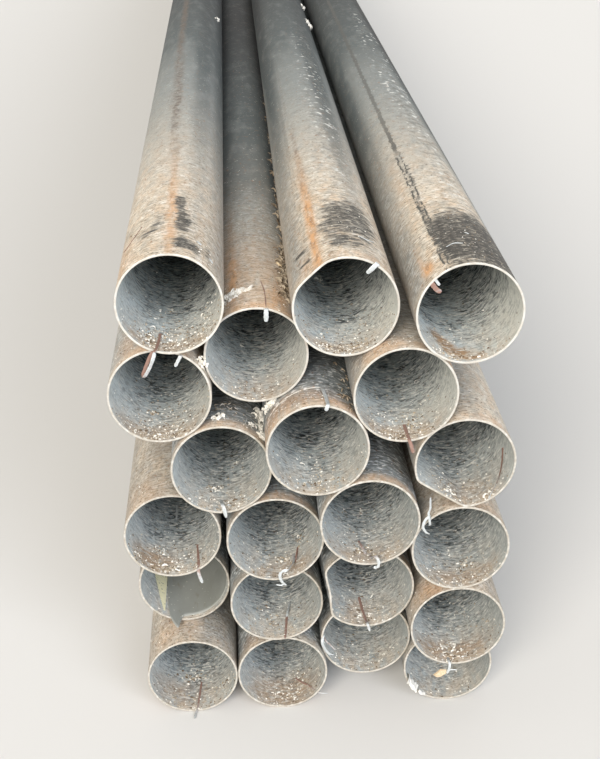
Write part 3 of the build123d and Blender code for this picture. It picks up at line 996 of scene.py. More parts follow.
# %% Curls of flash, one or more in each mouth
# Each: tube, name, path, width, thickness, flat side, twist in degrees, rust at the root and at the tip
flash_curls = [
    ("tube_row6_a", "root", [(-14, -43, -52.4), (-15, -20, -52), (-17, 0, -51.2), (-21, 4, -54), (-26, 5.5, -64.5),
        (-30.5, 5, -77), (-30, 6, -80.5)], 4.2, 1.1, (1, 0, 0.2), 20, 1.0, 0.75),
    ("tube_row6_a", "hairpin", [(-30.5, 5.5, -80.5), (-28, 7.5, -77), (-22.5, 9, -66), (-19, 8.5, -57), (-17.5, 5, -52)],
        4.0, 1.0, (1, 0, 0.2), 30, 0.25, 0.0),
    ("tube_row5_b", "curl", [(11, -8, 53.6), (11.3, 0, 55.2), (11.3, 3, 55), (11.2, 4, 49), (11, 3.5, 42)], 5.0, 1.3,
        (1, 0, 0), 0, 0.2, 0.0),
    ("tube_row6_b", "curl", [(32.5, -8, 44), (32, 0, 48.4), (30.5, 3, 49), (25.5, 4, 44.4), (20.7, 3, 39.4)], 5.2, 1.4,
        (0.6, 0, -0.5), 0, 0.1, 0.0),
    ("tube_row6_c", "upper", [(-38.6, -12, 38.6), (-39.2, -1.5, 39.6), (-37.5, -1, 37.2), (-35.5, -1, 34.5),
        (-34, -1.5, 32.5)], 3.0, 1.0, (0.6, 0, 0.6), 0, 0.2, 0.0),
    ("tube_row6_c", "lower", [(-42, -12, 35), (-42.6, -1.5, 35.6), (-39.5, -1.5, 31), (-36.5, -1.5, 27.5),
        (-32, -2, 24.5)], 5.0, 1.3, (0.6, 0, 0.6), 0, 0.75, 0.55),
    ("tube_row5_a", "curl", [(24.5, -8, 48.6), (25, -1, 49.6), (25.4, 1.5, 50.5), (24.4, 3, 49), (21.6, 3, 43.5),
        (18.8, 3, 38)], 3.8, 1.1, (1, 0, -0.3), 0, 0.2, 0.0),
    ("tube_row5_c", "curl", [(4, -34, -54.2), (4.6, -10, -54), (5, 0, -54), (6.2, 3, -57), (8, 4, -63), (9.6, 3, -69)],
        4.0, 1.2, (1, 0, 0), 15, 1.0, 0.5),
    ("tube_row4_a", "curl", [(-2.4, -24, -54), (-1.6, -14, -50.5), (-0.6, -4, -46), (0.6, 2, -45.5), (2.2, 4, -51),
        (3.8, 4, -60)], 4.0, 1.1, (1, 0, 0), 10, 0.25, 0.0),
    ("tube_row4_a", "hook", [(3.5, -12, -53.6), (5, -6, -50), (6.5, -3, -47.5), (8.6, -4, -49), (9, -8, -52.6)], 2.6,
        0.9, (1, 0, 0), 30, 0.1, 0.0),
    ("tube_row4_b", "curl", [(6.6, -43, 56.2), (7.4, -36, 57.4), (9, -20, 57.4), (10, -6, 57.4), (10, 1, 58.4),
        (9.2, 3.5, 56.5), (7.8, 3.5, 52)], 4.2, 1.2, (1, 0, 0), 0, 0.15, 0.0),
    ("tube_row4_c", "ribbon", [(53.2, -52, -11), (52, -46, -15), (49, -34, -22.5), (44, -22, -31.5), (38, -12, -39),
        (32, -4, -44.2), (29, 1, -45)], 4.0, 1.1, (0.4, 0, 0.9), 30, 0.9, 0.0),
    ("tube_row3_a", "tail", [(27, -51, -47.4), (28.3, -25, -46.6), (28.8, -4, -46.4), (28.4, 2, -50), (30, 3, -57),
        (32.4, 3, -65.5)], 4.0, 1.2, (1, 0, 0.2), 10, 0.9, 0.0),
    ("tube_row3_b", "root", [(23, -42, -49.4), (22.6, -32, -48.5), (22, -20, -46), (18, -8, -43), (14.5, 2, -41.5),
        (10, 3.5, -41), (6, 4, -42.6)], 3.8, 1.1, (0.8, 0, 0.5), 30, 0.3, 0.0),
    ("tube_row3_b", "tail", [(6, 4, -42.6), (4.6, 4.5, -47), (6, 4, -54.5), (9, 4, -59), (12, 4, -61.5)], 3.6, 1.0,
        (1, 0, 0), 25, 0.0, 0.0),
    ("tube_row3_b", "whisker", [(11, 3, -60), (6, 4, -61.5), (0.5, 3, -61)], 1.8, 0.8, (0, 0, 1), 25, 0.0, 0.1),
    ("tube_row3_b", "strand", [(29, -52, -46.4), (27.5, -42, -46), (25.5, -30, -46.6), (24.5, -24, -48.6)], 2.6, 0.9,
        (0.8, 0, 0.5), 0, 0.8, 0.6),
    ("tube_row3_c", "curl", [(2, -14, -54), (3.5, -6, -50), (6, -1, -45.5), (8.6, 2.5, -46), (10.2, 4, -50.5),
        (10, 4, -56), (8, 3.5, -58.6), (5, 3, -57.6)], 3.4, 1.0, (0.8, 0, 0.4), 20, 0.4, 0.0),
    ("tube_row3_c", "strand", [(-8, -44, -53.4), (-6, -32, -51.5), (-4, -24, -52.4), (-2, -17, -54)], 3.0, 0.9,
        (1, 0, 0), 20, 0.5, 0.3),
    ("tube_row3_d", "wire", [(-37.4, -5, 30), (-37.8, 2, 36), (-39, 3, 44), (-40.2, 3, 52.4), (-38.6, 3, 58),
        (-38.8, 3, 66), (-39.2, 3, 73)], 3.0, 1.1, (1, 0, 0.2), 40, 0.0, 0.0),
    ("tube_row3_d", "loop", [(-39.8, 4, 48), (-44, 4.5, 43.5), (-46.2, 4.5, 35), (-42.5, 4, 27), (-38, 3, 23.8)], 3.2,
        1.0, (1, 0, 0.2), 20, 0.0, 0.1),
    ("tube_row2_b", "upper", [(19.7, -70, -50.8), (17, -56, -50), (15, -46, -50), (13.8, -40, -52.4)], 3.2, 1.0,
        (1, 0, 0.3), 0, 0.1, 0.0),
    ("tube_row2_b", "lower", [(14, -42, -52.6), (12.4, -25, -53), (10.4, -6, -53.6), (9.8, 1, -54)], 3.2, 1.0,
        (1, 0, 0.3), 0, 0.55, 0.6),
    ("tube_row2_c", "curl", [(-2.6, -55, -54.3), (-1, -30, -54.2), (1, -8, -53.4), (1.8, 0, -51.5), (2.6, 3, -53),
        (4.8, 3.5, -61)], 3.2, 1.1, (1, 0, 0), 10, 0.8, 0.0),
    ("tube_row2_d", "curl", [(-8, -8, -53.6), (-8.4, 0, -51.5), (-7.6, 4, -54), (-8.4, 5, -60), (-10.4, 5, -66.5)], 3.2,
        1.0, (1, 0, 0), 20, 0.2, 0.0),
    ("tube_row2_d", "whisker", [(-9, 5, -62), (-5, 6, -60.5), (1.4, 6, -61)], 2.0, 0.8, (0, 0, 1), 20, 0.0, 0.0),
    ("tube_row1_a", "wire", [(8.5, -52, -53.8), (7, -35, -54), (5, -12, -54.2), (3.6, 0, -54.4), (1.6, 5, -55.4),
        (0.4, 14, -56.1)], 2.8, 1.0, (1, 0, 0), 0, 0.75, 0.1),
    ("tube_row1_b", "ribbon", [(19, -48, -51), (26, -36, -47.4), (34, -24, -42.4), (40, -10, -37.4), (45, 0, -34),
        (51, 3, -33.4), (57.4, 3, -33.6)], 2.4, 0.9, (0.5, 0, 0.8), 30, 0.85, 0.0),
    ("tube_row1_c", "outer", [(-54.2, -2, 5), (-55.8, 2.5, 0), (-54.7, 3, -7), (-50, 3, -17), (-45.5, 3, -21.5),
        (-41, 2, -23)], 3.8, 1.3, (1, 0, 0.4), 20, 0.1, 0.0),
    ("tube_row1_c", "inner", [(-53.6, -8, -1), (-50, -1, -4), (-44, 0, -10.5), (-39, 1, -16.6)], 2.0, 0.9, (1, 0, 0.4),
        20, 0.5, 0.2),
]
for number, (node, name, path, width, thick, side, twist, root_rust, tip_rust) in enumerate(flash_curls):
    curve = smooth(on_tube(node, path))
    points, faces = strip(curve, width, thick, side, twist, 500 + number)
    rust = np.repeat(np.linspace(root_rust, tip_rust, len(curve)), len(strip_section))
    new_piece(f"weld_flash_{node[5:]}_{name}", points, faces, steel_flash, {"rusted": rust})
print(len(flash_curls), "strips of flash")

# %% [markdown]
# ## The scrap of sheet and the scraps of paper
# One tube holds an offcut of thin sheet that has sprung open against the bore, with one tongue left
# sticking out of the mouth. A pale strip of paper lies beside it, and a crumpled piece of paper is
# caught on another lip. All three are thin sheets, so each is a grid of points given a thickness.

# %% Slab builder
def slab(grid, thick):
    """Points and faces of a closed sheet, from a grid of points at the middle of its thickness."""
    rows, columns = grid.shape[:2]
    normal = unit(np.cross(np.gradient(grid, axis=0), np.gradient(grid, axis=1)))
    points = np.concatenate([(grid + side * thick / 2 * normal).reshape(-1, 3) for side in (1, -1)])
    under = rows * columns
    at = np.arange(under).reshape(rows, columns)
    faces = []
    for row in range(rows - 1):
        for column in range(columns - 1):
            face = (at[row, column], at[row + 1, column], at[row + 1, column + 1], at[row, column + 1])
            faces += [face, tuple(under + i for i in face[::-1])]
    rim = [*at[0, :-1], *at[:-1, -1], *at[-1, :0:-1], *at[:0:-1, 0]]
    faces += [(a, b, b + under, a + under) for a, b in zip(rim, rim[1:] + rim[:1])]
    return points, [tuple(int(i) for i in face) for face in faces]


def wall_grid(node, directions, distances, radius):
    """A grid of points beside a bore, from directions and rows of distances behind the mouth."""
    x, y, z = axis[node]
    turn = np.radians(np.broadcast_to(directions, distances.shape))
    reach = np.broadcast_to(radius, distances.shape)
    return np.stack([x + reach * np.cos(turn), y + distances, z + reach * np.sin(turn)], axis=2)


print("a slab of 2 by 2 points has", len(slab(wall_grid(tube_nodes[0], np.array([0, 9]), np.ones((2, 2)), 50.0), 1)[1]), "faces")

# %% Sheet and paper finishes
sheet_finish, tree = blank("cold rolled sheet, dulled")
place = add(tree, "ShaderNodeTexCoord").outputs["Object"]
finish = {"Base Color": "#9fa099", "Roughness": 0.5, "Metallic": 0.1}
film = patches(tree, place, 30, 60, 0.36, 0.66, 4.0)
finish = lay_over(tree, finish, combine(tree, "MULTIPLY", film, 0.5), "#87887f", 0.6, 0.1)
stain = patches(tree, place, 8, 20, 0.60, 0.72, 4.0)
finish = lay_over(tree, finish, combine(tree, "MULTIPLY", stain, 0.5), "#8a8473", 0.8, 0.0)
mote = patches(tree, place, 3, 3, 0.70, 0.74, 2.0)
finish = lay_over(tree, finish, mote, "#e6e2d4", 0.8, 0.0)
finished(sheet_finish, finish, film, 0.1)

paper_finish, tree = blank("weathered paper")
place = add(tree, "ShaderNodeTexCoord").outputs["Object"]
yellowed = painted_number(tree, "yellowed")
finish = {"Base Color": "#d3d1ca", "Roughness": 0.85, "Metallic": 0.0}
finish = lay_over(tree, finish, yellowed, "#f2ebc2", 0.85, 0.0)
mould = combine(tree, "MULTIPLY", patches(tree, place, 4, 4, 0.60, 0.66, 4.0), yellowed, 0.8)
finish = lay_over(tree, finish, mould, "#7f7a60", 0.9, 0.0)
fibres = patches(tree, place, 6, 6, 0.40, 0.70, 5.0)
finish = lay_over(tree, finish, combine(tree, "MULTIPLY", fibres, 0.3), "#c9c4b6", 0.9, 0.0)
finished(paper_finish, finish, fibres, 0.15)

# %% Sheet offcut
# The front edge, as a direction and how far behind the mouth it lies; the tongue comes out in front
front_edge = np.array([
    (241, 75), (242.5, 60), (244, 30), (246, 10), (248.5, 0), (252, -8), (256, -15), (259.5, -20),
    (261, -17), (262.5, -8), (264, 0), (267, 5), (272, 6), (300, 6), (350, 8), (410, 10),
])
offcut_tube = "tube_row2_a"
offcut_thick = 1.0
offcut_end = 260.0
directions = np.unique(np.concatenate([np.linspace(241, 270, 30), np.linspace(270, 410, 48)]))
starts = np.interp(directions, front_edge[:, 0], front_edge[:, 1])
steps = np.linspace(0, 1, 12)[:, None] ** 1.6
grid = wall_grid(offcut_tube, directions, starts + (offcut_end - starts) * steps, tube_bore - 0.8)
points, faces = slab(grid, offcut_thick)
offcut = new_piece("steel_sheet_offcut", points, faces, sheet_finish)
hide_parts("sheet_offcut")
offcut.data.polygons.foreach_set("use_smooth", [True] * (2 * 11 * (len(directions) - 1)) + [False] * (
    len(faces) - 2 * 11 * (len(directions) - 1)))
print("offcut:", len(faces), "faces")

# %% Paper strip beside the offcut, and crumpled paper on a lip
strip_rows = np.linspace(9, 100, 14)
left_side = np.interp(strip_rows, [9, 30, 85, 100], [238.5, 232, 215, 217])
share = np.linspace(0, 1, 7)
spread_out = left_side[:, None] + (240.4 - left_side)[:, None] * share
grid = wall_grid(offcut_tube, spread_out, np.repeat(strip_rows[:, None], 7, axis=1), tube_bore - 0.5)
points, faces = slab(grid, 0.3)
new_piece("paper_strip", points, faces, paper_finish, {"yellowed": [1.0] * len(points)})

# Each row of the crumpled piece: how far behind the mouth, how far from the axis, and a turn in degrees
paper_rows = np.array([(13, 54.2, 4), (8, 52.8, 2), (3, 50.5, 0), (-1.5, 52.5, 0), (-4, 55.5, 1), (-3.5, 57.5, 4)])
crumple = noise_table(71, (6, 9, 2)) - 0.5
loose = np.array([0.1, 1, 1, 1, 1, 0.7])[:, None]
reach = paper_rows[:, 1:2] + 3.2 * crumple[:, :, 0] * loose
away = paper_rows[:, :1] + 3.4 * crumple[:, :, 1]
directions = np.linspace(199, 224, 9) + paper_rows[:, 2:]
grid = wall_grid("tube_row1_d", directions, away, reach)
points, faces = slab(grid, 0.35)
sheets = [(points, faces)]
directions = np.linspace(226, 238, 5) + np.array([0, 1, 2])[:, None]
away = np.array([6.0, 0.0, -3.0])[:, None] + 2.0 * crumple[:3, :5, 1]
reach = np.array([53.9, 52.8, 54.8])[:, None] + 2.0 * crumple[:3, :5, 0]
sheets.append(slab(wall_grid("tube_row1_d", directions, away, reach), 0.35))
points, faces = joined(sheets)
new_piece("crumpled_paper", points, faces, paper_finish, {"yellowed": [0.0] * len(points)})
print("paper strip and crumpled paper")

# %% [markdown]
# ## Crumbs in the bores
# Each bore has caught mortar, scale and sawdust that blew or fell in at its mouth. The crumbs are flat,
# uneven chips that lie on the lower wall. Each is a small closed prism with its own outline, set on
# the wall, so that it casts a real shadow at the angle at which the bores are looked into.

# %% Chip builder
def chip(seat, up, ahead, long, wide, thick, seed):
    """Points and faces of one flat, uneven chip that lies on a seat."""
    draw = np.random.default_rng(seed)
    corners = 6
    turn = (np.arange(corners) + 0.6 * draw.random(corners)) * 2 * math.pi / corners
    reach = 0.6 + 0.4 * draw.random(corners)
    beside = np.cross(up, ahead)
    flat = np.outer(long / 2 * np.cos(turn) * reach, ahead) + np.outer(wide / 2 * np.sin(turn) * reach, beside)
    high = thick * (0.6 + 0.8 * draw.random(corners))
    points = np.concatenate([seat + flat, seat + 0.75 * flat + np.outer(high, up)])
    faces = [tuple(range(corners))[::-1], tuple(range(corners, 2 * corners))]
    faces += [(k, (k + 1) % corners, (k + 1) % corners + corners, k + corners) for k in range(corners)]
    return points, faces


def wall_seat(node, degrees, distance, inside):
    """A point on a tube's wall, the way up from it, and the way along the tube."""
    x, y, z = axis[node]
    plain = tube_bore if inside else tube_outside
    radius = wall_radius(plain, np.array([float(degrees)]), distance, crushed.get(node))[0]
    turn = math.radians(degrees)
    away = np.array([math.cos(turn), 0, math.sin(turn)])
    sink = 0.12
    seat = np.array([x, y + distance, z]) + away * (radius + sink if inside else radius - sink)
    return seat, (-away if inside else away), np.array([0.0, 1.0, 0.0])


def scattered(seats, long, thick, seed, palest=1.0):
    """Many chips on many seats, and a shade from 0 to palest for every point."""
    draw = np.random.default_rng(seed)
    shapes, shades = [], []
    for number, (seat, up, along) in enumerate(seats):
        swing = draw.random() * 2 * math.pi
        ahead = math.cos(swing) * along + math.sin(swing) * np.cross(up, along)
        size = long[0] + (long[1] - long[0]) * draw.random() ** 2
        wide = size * (0.45 + 0.5 * draw.random())
        shapes.append(chip(seat, up, ahead, size, wide, thick * (0.6 + 0.8 * draw.random()), seed + number))
        shades += [palest * draw.random()] * len(shapes[-1][0])
    points, faces = joined(shapes)
    return points, faces, shades


# %% Crumb and litter finishes
# Mortar, scale and wood look much alike at this size: matt, and from brown to nearly white
crumb_finish, tree = blank("mortar dust and scale crumbs")
place = add(tree, "ShaderNodeTexCoord").outputs["Object"]
shade = painted_number(tree, "shade")
finish = {"Base Color": "#6a5a48", "Roughness": 0.9, "Metallic": 0.0}
finish = lay_over(tree, finish, between(tree, shade, 0.2, 0.4), "#aea08b", 0.9, 0.0)
finish = lay_over(tree, finish, between(tree, shade, 0.6, 0.76), "#efebe0", 0.9, 0.0)
fleck = patches(tree, place, 1.5, 1.5, 0.50, 0.66, 2.0)
finish = lay_over(tree, finish, combine(tree, "MULTIPLY", fleck, 0.35), "#a89878", 0.9, 0.0)
finished(crumb_finish, finish, fleck, 0.1)

# %% Crumbs on the lower walls
crumb_count = {
    "tube_row6_a": 420,
    "tube_row5_a": 380,
    "tube_row6_b": 330,
    "tube_row6_c": 120,
    "tube_row5_c": 260,
    "tube_row5_b": 110,
    "tube_row3_a": 300,
    "tube_row2_a": 20,
    "tube_row1_d": 60,
}
usual_crumbs = 200
draw = np.random.default_rng(20)
seats = []
for node in tube_nodes:
    for _ in range(crumb_count.get(node, usual_crumbs)):
        degrees = 272 + 34 * draw.standard_normal()
        distance = 1.5 + min(210, draw.exponential(32))
        seats.append(wall_seat(node, min(350, max(195, degrees)), distance, True))
points, faces, shades = scattered(seats, (1.0, 4.6), 0.7, 3000)
new_piece("crumbs_in_bores", points, faces, crumb_finish, {"shade": shades})
print(len(seats), "crumbs in the bores")

# %% Heaps of larger crumbs, most of them where a curl of flash has caught them
# Each: tube, direction, distance, half width in degrees, half length in mm, count
heaps = [
    ("tube_row6_a", 244, 20, 9, 14, 60),
    ("tube_row6_a", 262, 34, 10, 16, 40),
    ("tube_row6_a", 290, 22, 14, 14, 50),
    ("tube_row6_a", 314, 55, 8, 20, 20),
    ("tube_row6_b", 268, 14, 20, 9, 60),
    ("tube_row6_c", 262, 12, 22, 7, 24),
    ("tube_row5_a", 262, 8, 24, 7, 60),
    ("tube_row5_a", 258, 62, 8, 4, 26),
    ("tube_row5_b", 268, 22, 12, 14, 16),
    ("tube_row5_c", 286, 30, 10, 16, 46),
    ("tube_row5_c", 262, 10, 16, 8, 36),
    ("tube_row4_a", 263, 50, 7, 6, 26),
    ("tube_row4_a", 280, 14, 8, 9, 20),
    ("tube_row4_b", 270, 20, 12, 12, 40),
    ("tube_row4_c", 304, 8, 6, 6, 18),
    ("tube_row4_c", 255, 16, 14, 10, 36),
    ("tube_row3_a", 262, 12, 13, 6, 80),
    ("tube_row3_a", 218, 12, 12, 9, 40),
    ("tube_row3_a", 252, 46, 12, 7, 24),
    ("tube_row3_b", 281, 36, 9, 9, 36),
    ("tube_row3_b", 308, 60, 6, 10, 12),
    ("tube_row3_c", 262, 26, 9, 7, 36),
    ("tube_row3_c", 272, 105, 3, 5, 10),
    ("tube_row3_d", 286, 40, 6, 9, 26),
    ("tube_row2_b", 262, 40, 12, 20, 16),
    ("tube_row2_c", 266, 22, 6, 13, 30),
    ("tube_row2_d", 266, 16, 14, 10, 60),
    ("tube_row2_d", 332, 34, 10, 14, 16),
    ("tube_row1_a", 270, 62, 12, 9, 60),
    ("tube_row1_a", 322, 28, 12, 14, 26),
    ("tube_row1_b", 296, 42, 12, 14, 40),
    ("tube_row1_b", 275, 18, 16, 10, 26),
]
seats = []
for node, direction, middle, half_wide, half_long, count in heaps:
    for _ in range(count):
        degrees = direction + half_wide * draw.standard_normal() / 1.5
        distance = max(1.5, middle + half_long * draw.standard_normal() / 1.5)
        seats.append(wall_seat(node, degrees, distance, True))
points, faces, shades = scattered(seats, (1.2, 6.4), 0.9, 6000)
new_piece("crumb_heaps", points, faces, crumb_finish, {"shade": shades})
print(len(seats), "crumbs in the heaps")

# %% Crumbs on top of the near ends
grit_patches = [
    ("tube_row6_a", 45, 30, 16, 30, 34),
    ("tube_row6_a", 140, 50, 14, 60, 14),
    ("tube_row5_b", 128, 40, 14, 30, 60),
    ("tube_row5_b", 60, 60, 12, 60, 60),
    ("tube_row6_b", 80, 80, 26, 50, 26),
    ("tube_row6_c", 80, 80, 22, 60, 40),
    ("tube_row5_a", 125, 40, 20, 40, 50),
    ("tube_row5_c", 100, 20, 40, 20, 50),
    ("tube_row4_b", 110, 20, 40, 20, 60),
    ("tube_row4_a", 70, 20, 35, 20, 40),
    ("tube_row3_a", 130, 30, 25, 40, 40),
    ("tube_row3_c", 100, 20, 40, 20, 40),
    ("tube_row2_d", 110, 20, 40, 20, 30),
    ("tube_row1_a", 120, 40, 40, 40, 50),
    ("tube_row1_b", 110, 30, 40, 40, 40),
]
seats = []
for node, direction, middle, half_wide, half_long, count in grit_patches:
    for _ in range(count):
        degrees = direction + half_wide * draw.standard_normal() / 2
        distance = middle + half_long * draw.standard_normal() / 2
        if distance > 2:
            seats.append(wall_seat(node, degrees, distance, False))
points, faces, shades = scattered(seats, (1.2, 3.4), 0.5, 9000)
new_piece("crumbs_on_tubes", points, faces, crumb_finish, {"shade": shades})
print(len(seats), "crumbs on the tubes")

# %% [markdown]
# ## Shavings in the hollows
# Wood shavings and curls of turned metal have blown into the long hollows between the tubes of the top
# rows. Each is a thin strip bent into part of a ring, lying on the lower tube of the hollow and leaning
# in all directions. They are darker and browner inside the hollow, and palest near the mouths.

# %% Shavings
def shaving(seat, up, along, size, seed):
    """Points and faces of one curled shaving that lies on a seat."""
    draw = np.random.default_rng(seed)
    swing = draw.random() * 2 * math.pi
    ahead = math.cos(swing) * along + math.sin(swing) * np.cross(up, along)
    beside = np.cross(up, ahead)
    bend = math.radians(60 + 150 * draw.random())
    curl = size / bend
    angles = np.linspace(0, bend, 7)
    lift = 0.15 + 0.35 * draw.random()
    rise = np.sin(np.linspace(0, math.pi, 7)) * size * lift * 0.5
    path = seat + np.outer(curl * np.sin(angles), ahead) + np.outer(curl * (1 - np.cos(angles)), beside)
    path = path + np.outer(rise + 0.4, up)
    wide = size * (0.12 + 0.16 * draw.random())
    return strip(path, wide, 0.45, up + 0.5 * beside, 90 * draw.random(), seed)


# Each: tube, direction, half width in degrees, nearest and farthest mm, count, size, palest share
hollows = [
    ("tube_row5_b", 50, 7, 44, 190, 150, (6, 13), 0.55),
    ("tube_row5_b", 47, 4, 180, 430, 90, (6, 12), 0.45),
    ("tube_row5_b", 45, 4, 430, 1000, 40, (6, 12), 0.4),
    ("tube_row4_a", 84, 12, 40, 90, 16, (3, 7), 0.8),
    ("tube_row4_b", 55, 8, 10, 120, 22, (4, 9), 0.6),
    ("tube_row5_c", 52, 8, 20, 160, 30, (4, 9), 0.6),
    ("tube_row5_c", 128, 8, 40, 200, 24, (4, 9), 0.5),
]
shapes, shades = [], []
for node, direction, half_wide, nearest, farthest, count, size, palest in hollows:
    for number in range(count):
        degrees = direction + half_wide * (2 * draw.random() - 1)
        distance = nearest + (farthest - nearest) * draw.random() ** 1.4
        seat, up, along = wall_seat(node, degrees, distance, False)
        length = size[0] + (size[1] - size[0]) * draw.random()
        shapes.append(shaving(seat, up, along, length, 15000 + len(shapes)))
        shades += [palest * draw.random() ** 0.6] * len(shapes[-1][0])
points, faces = joined(shapes)
new_piece("shavings_in_hollows", points, faces, crumb_finish, {"shade": shades})
print(len(shapes), "shavings")

# %% Tufts of white fluff and curls, each along a line on a tube
# Each: tube, first direction and distance, last direction and distance, half width, lift in mm, count, size
tufts = [
    ("tube_row5_b", (127, 44), (100, 50), 3.5, 3, 110, (4, 10)),
    ("tube_row5_b", (128, 34), (112, 38), 4, 2, 26, (3, 7)),
    ("tube_row5_a", (42, 13), (35, 6), 2.5, 8, 40, (3, 6)),
    ("tube_row4_a", (31, 76), (38, 38), 7, 8, 150, (5, 12)),
    ("tube_row4_a", (38, 36), (37, 10), 3.5, 3, 60, (4, 9)),
    ("tube_row4_a", (60, 20), (48, 24), 4, 1, 14, (3, 7)),
    ("tube_row4_a", (95, 15), (85, 26), 2.5, 2, 22, (4, 8)),
    ("tube_row4_b", (140, 52), (160, 62), 4, 4, 70, (4, 9)),
    ("tube_row6_b", (30, 1376), (28, 1398), 8, 3, 14, (6, 12)),
    ("tube_row6_b", (30, 1560), (28, 1590), 8, 3, 12, (6, 12)),
    ("tube_row6_a", (36, 1380), (34, 1410), 6, 2, 8, (5, 9)),
]
shapes, shades = [], []
for node, first, last, half_wide, lift, count, size in tufts:
    for number in range(count):
        share = draw.random()
        degrees = first[0] + (last[0] - first[0]) * share
        distance = first[1] + (last[1] - first[1]) * share + half_wide * draw.standard_normal() / 2
        degrees += math.degrees(half_wide * draw.standard_normal() / 2 / tube_outside)
        seat, up, along = wall_seat(node, degrees, max(2.0, distance), False)
        long = size[0] + (size[1] - size[0]) * draw.random()
        swing = draw.random() * 2 * math.pi
        ahead = math.cos(swing) * along + math.sin(swing) * np.cross(up, along)
        if number % 3:
            lean = unit(up - 0.8 * along + 0.5 * np.cross(up, ahead) * draw.standard_normal())
            ahead = unit(np.cross(lean, ahead))
            lifted = seat + draw.random() * lift * up
            shapes.append(chip(lifted, lean, ahead, long, long * 0.5, 1.4, 26000 + len(shapes)))
        else:
            shapes.append(shaving(seat, up, along, long * 1.3, 26000 + len(shapes)))
        shades += [0.8 + 0.2 * draw.random()] * len(shapes[-1][0])
points, faces = joined(shapes)
new_piece("tufts", points, faces, crumb_finish, {"shade": shades})
print(len(shapes), "pieces in the tufts")

# %% Single white flakes that stand up in the bores
# Each: tube, direction, distance, length
single_flakes = [
    ("tube_row4_a", 288, 105, 9),
    ("tube_row4_b", 253, 64, 8),
    ("tube_row5_c", 306, 122, 7),
    ("tube_row5_b", 252, 138, 8),
    ("tube_row6_a", 268, 112, 8),
    ("tube_row6_a", 252, 101, 7),
    ("tube_row6_a", 249, 50, 9),
    ("tube_row6_a", 314, 96, 7),
    ("tube_row6_a", 310, 67, 8),
    ("tube_row3_c", 271, 108, 7),
    ("tube_row3_b", 307, 70, 7),
    ("tube_row2_d", 272, 26, 12),
    ("tube_row2_d", 268, 20, 9),
    ("tube_row2_b", 258, 62, 6),
    ("tube_row1_b", 258, 20, 6),
    ("tube_row3_a", 262, 14, 14),
    ("tube_row3_a", 270, 12, 10),
    ("tube_row3_a", 255, 50, 9),
    ("tube_row4_c", 304, 8, 8),
    ("tube_row4_a", 262, 48, 10),
    ("tube_row6_b", 257, 204, 14),
    ("tube_row6_b", 256, 201, 11),
    ("tube_row6_b", 258, 207, 12),
    ("tube_row6_b", 257, 203, 9),
    ("tube_row6_b", 258, 205, 8),
]
shapes = []
for node, direction, distance, length in single_flakes:
    seat, up, along = wall_seat(node, direction, distance, True)
    shapes.append(shaving(seat, up, along, length, 21000 + len(shapes)))
points, faces = joined(shapes)
new_piece("flakes_in_bores", points, faces, crumb_finish, {"shade": [0.9] * len(points)})
print(len(shapes), "single flakes")


# %% Thin slivers of flash and wire that lie on the tubes
def lying(node, stops, lift, inside=False):
    """A smooth path over a tube's wall through stops of direction and distance."""
    seats = [wall_seat(node, direction, distance, inside) for direction, distance in stops]
    return smooth([seat + lift * up for seat, up, along in seats])


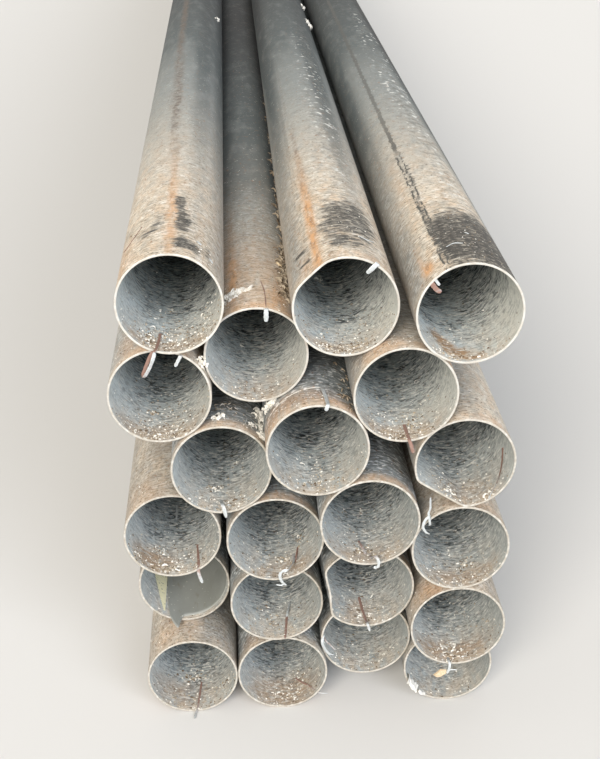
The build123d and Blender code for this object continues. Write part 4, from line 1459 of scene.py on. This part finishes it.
# Each: tube, name, stops, width, rust, whether it lies in the bore
slivers = [
    ("tube_row6_a", "chip", [(58, 56), (53, 52)], 3.0, 0.0, False),
    ("tube_row6_a", "shred", [(41, 33), (36, 29)], 2.0, 0.0, False),
    ("tube_row6_a", "fibre", [(123, 106), (132, 89), (143, 81), (152, 84)], 0.9, 1.0, False),
    ("tube_row6_b", "sliver", [(71, 68), (60, 66), (50, 74)], 1.3, 0.0, False),
    ("tube_row6_c", "sliver", [(110, 54), (101, 58), (92, 55)], 1.3, 0.0, False),
    ("tube_row6_c", "shred", [(84, 88), (80, 85)], 1.5, 0.0, False),
    ("tube_row5_b", "wire", [(82, 74), (79, 44), (78.5, 4)], 1.0, 0.6, False),
    ("tube_row3_a", "strand", [(268, 152), (268.5, 136), (268, 119)], 3.2, 0.0, True),
]
for number, (node, name, stops, width, rusted, inside) in enumerate(slivers):
    curve = lying(node, stops, 0.5, inside)
    ahead = curve[-1] - curve[0]
    away = curve[0] - np.array(axis[node]) * (1, 0, 1) - curve[0] * (0, 1, 0)
    points, faces = strip(curve, width, 0.7, np.cross(away, ahead), 25, 700 + number)
    rust = [rusted] * len(points)
    new_piece(f"sliver_{node[5:]}_{name}", points, faces, steel_flash, {"rusted": rust})
print(len(slivers), "slivers")

# %% [markdown]
# A few chips of split wood have been caught too: one hangs on a curl of flash at the lower right, and
# some lie in the hollow of the top rows.

# %% Wood chips
wood_finish, tree = blank("split pine, weathered")
place = add(tree, "ShaderNodeTexCoord").outputs["Object"]
finish = {"Base Color": "#cfbc9c", "Roughness": 0.8, "Metallic": 0.0}
rings = patches(tree, place, 1.2, 9, 0.40, 0.60, 3.0)
finish = lay_over(tree, finish, combine(tree, "MULTIPLY", rings, 0.5), "#ad9068", 0.8, 0.0)
finished(wood_finish, finish, rings, 0.15)

# Each: tube, direction, distance, length, width
wood_seats = [
    ("tube_row5_b", 57, 144, 15, 10),
    ("tube_row5_b", 51, 164, 11, 8),
    ("tube_row5_b", 50, 79, 15, 10),
    ("tube_row5_b", 53, 112, 10, 6),
]
shapes = []
for node, direction, distance, length, width in wood_seats:
    seat, up, along = wall_seat(node, direction, distance, False)
    ahead = unit(along + 0.7 * np.cross(up, along))
    shapes.append(chip(seat + 0.4 * up, up, ahead, length, width, 1.6, 31000 + len(shapes)))

# The hanging chip leans on the curl in front of the mouth below its lip
hung = on_tube("tube_row2_d", [(-18.5, 5.5, -66)])[0]
facing_viewer = unit(np.array([0.1, -1.0, 0.35]))
ahead = unit(np.cross(facing_viewer, np.array([-0.35, 0.0, 1.0])))
shapes.append(chip(hung, facing_viewer, ahead, 21, 12, 1.6, 31100))
points, faces = joined(shapes)
new_piece("wood_chips", points, faces, wood_finish)
print(len(shapes), "wood chips")
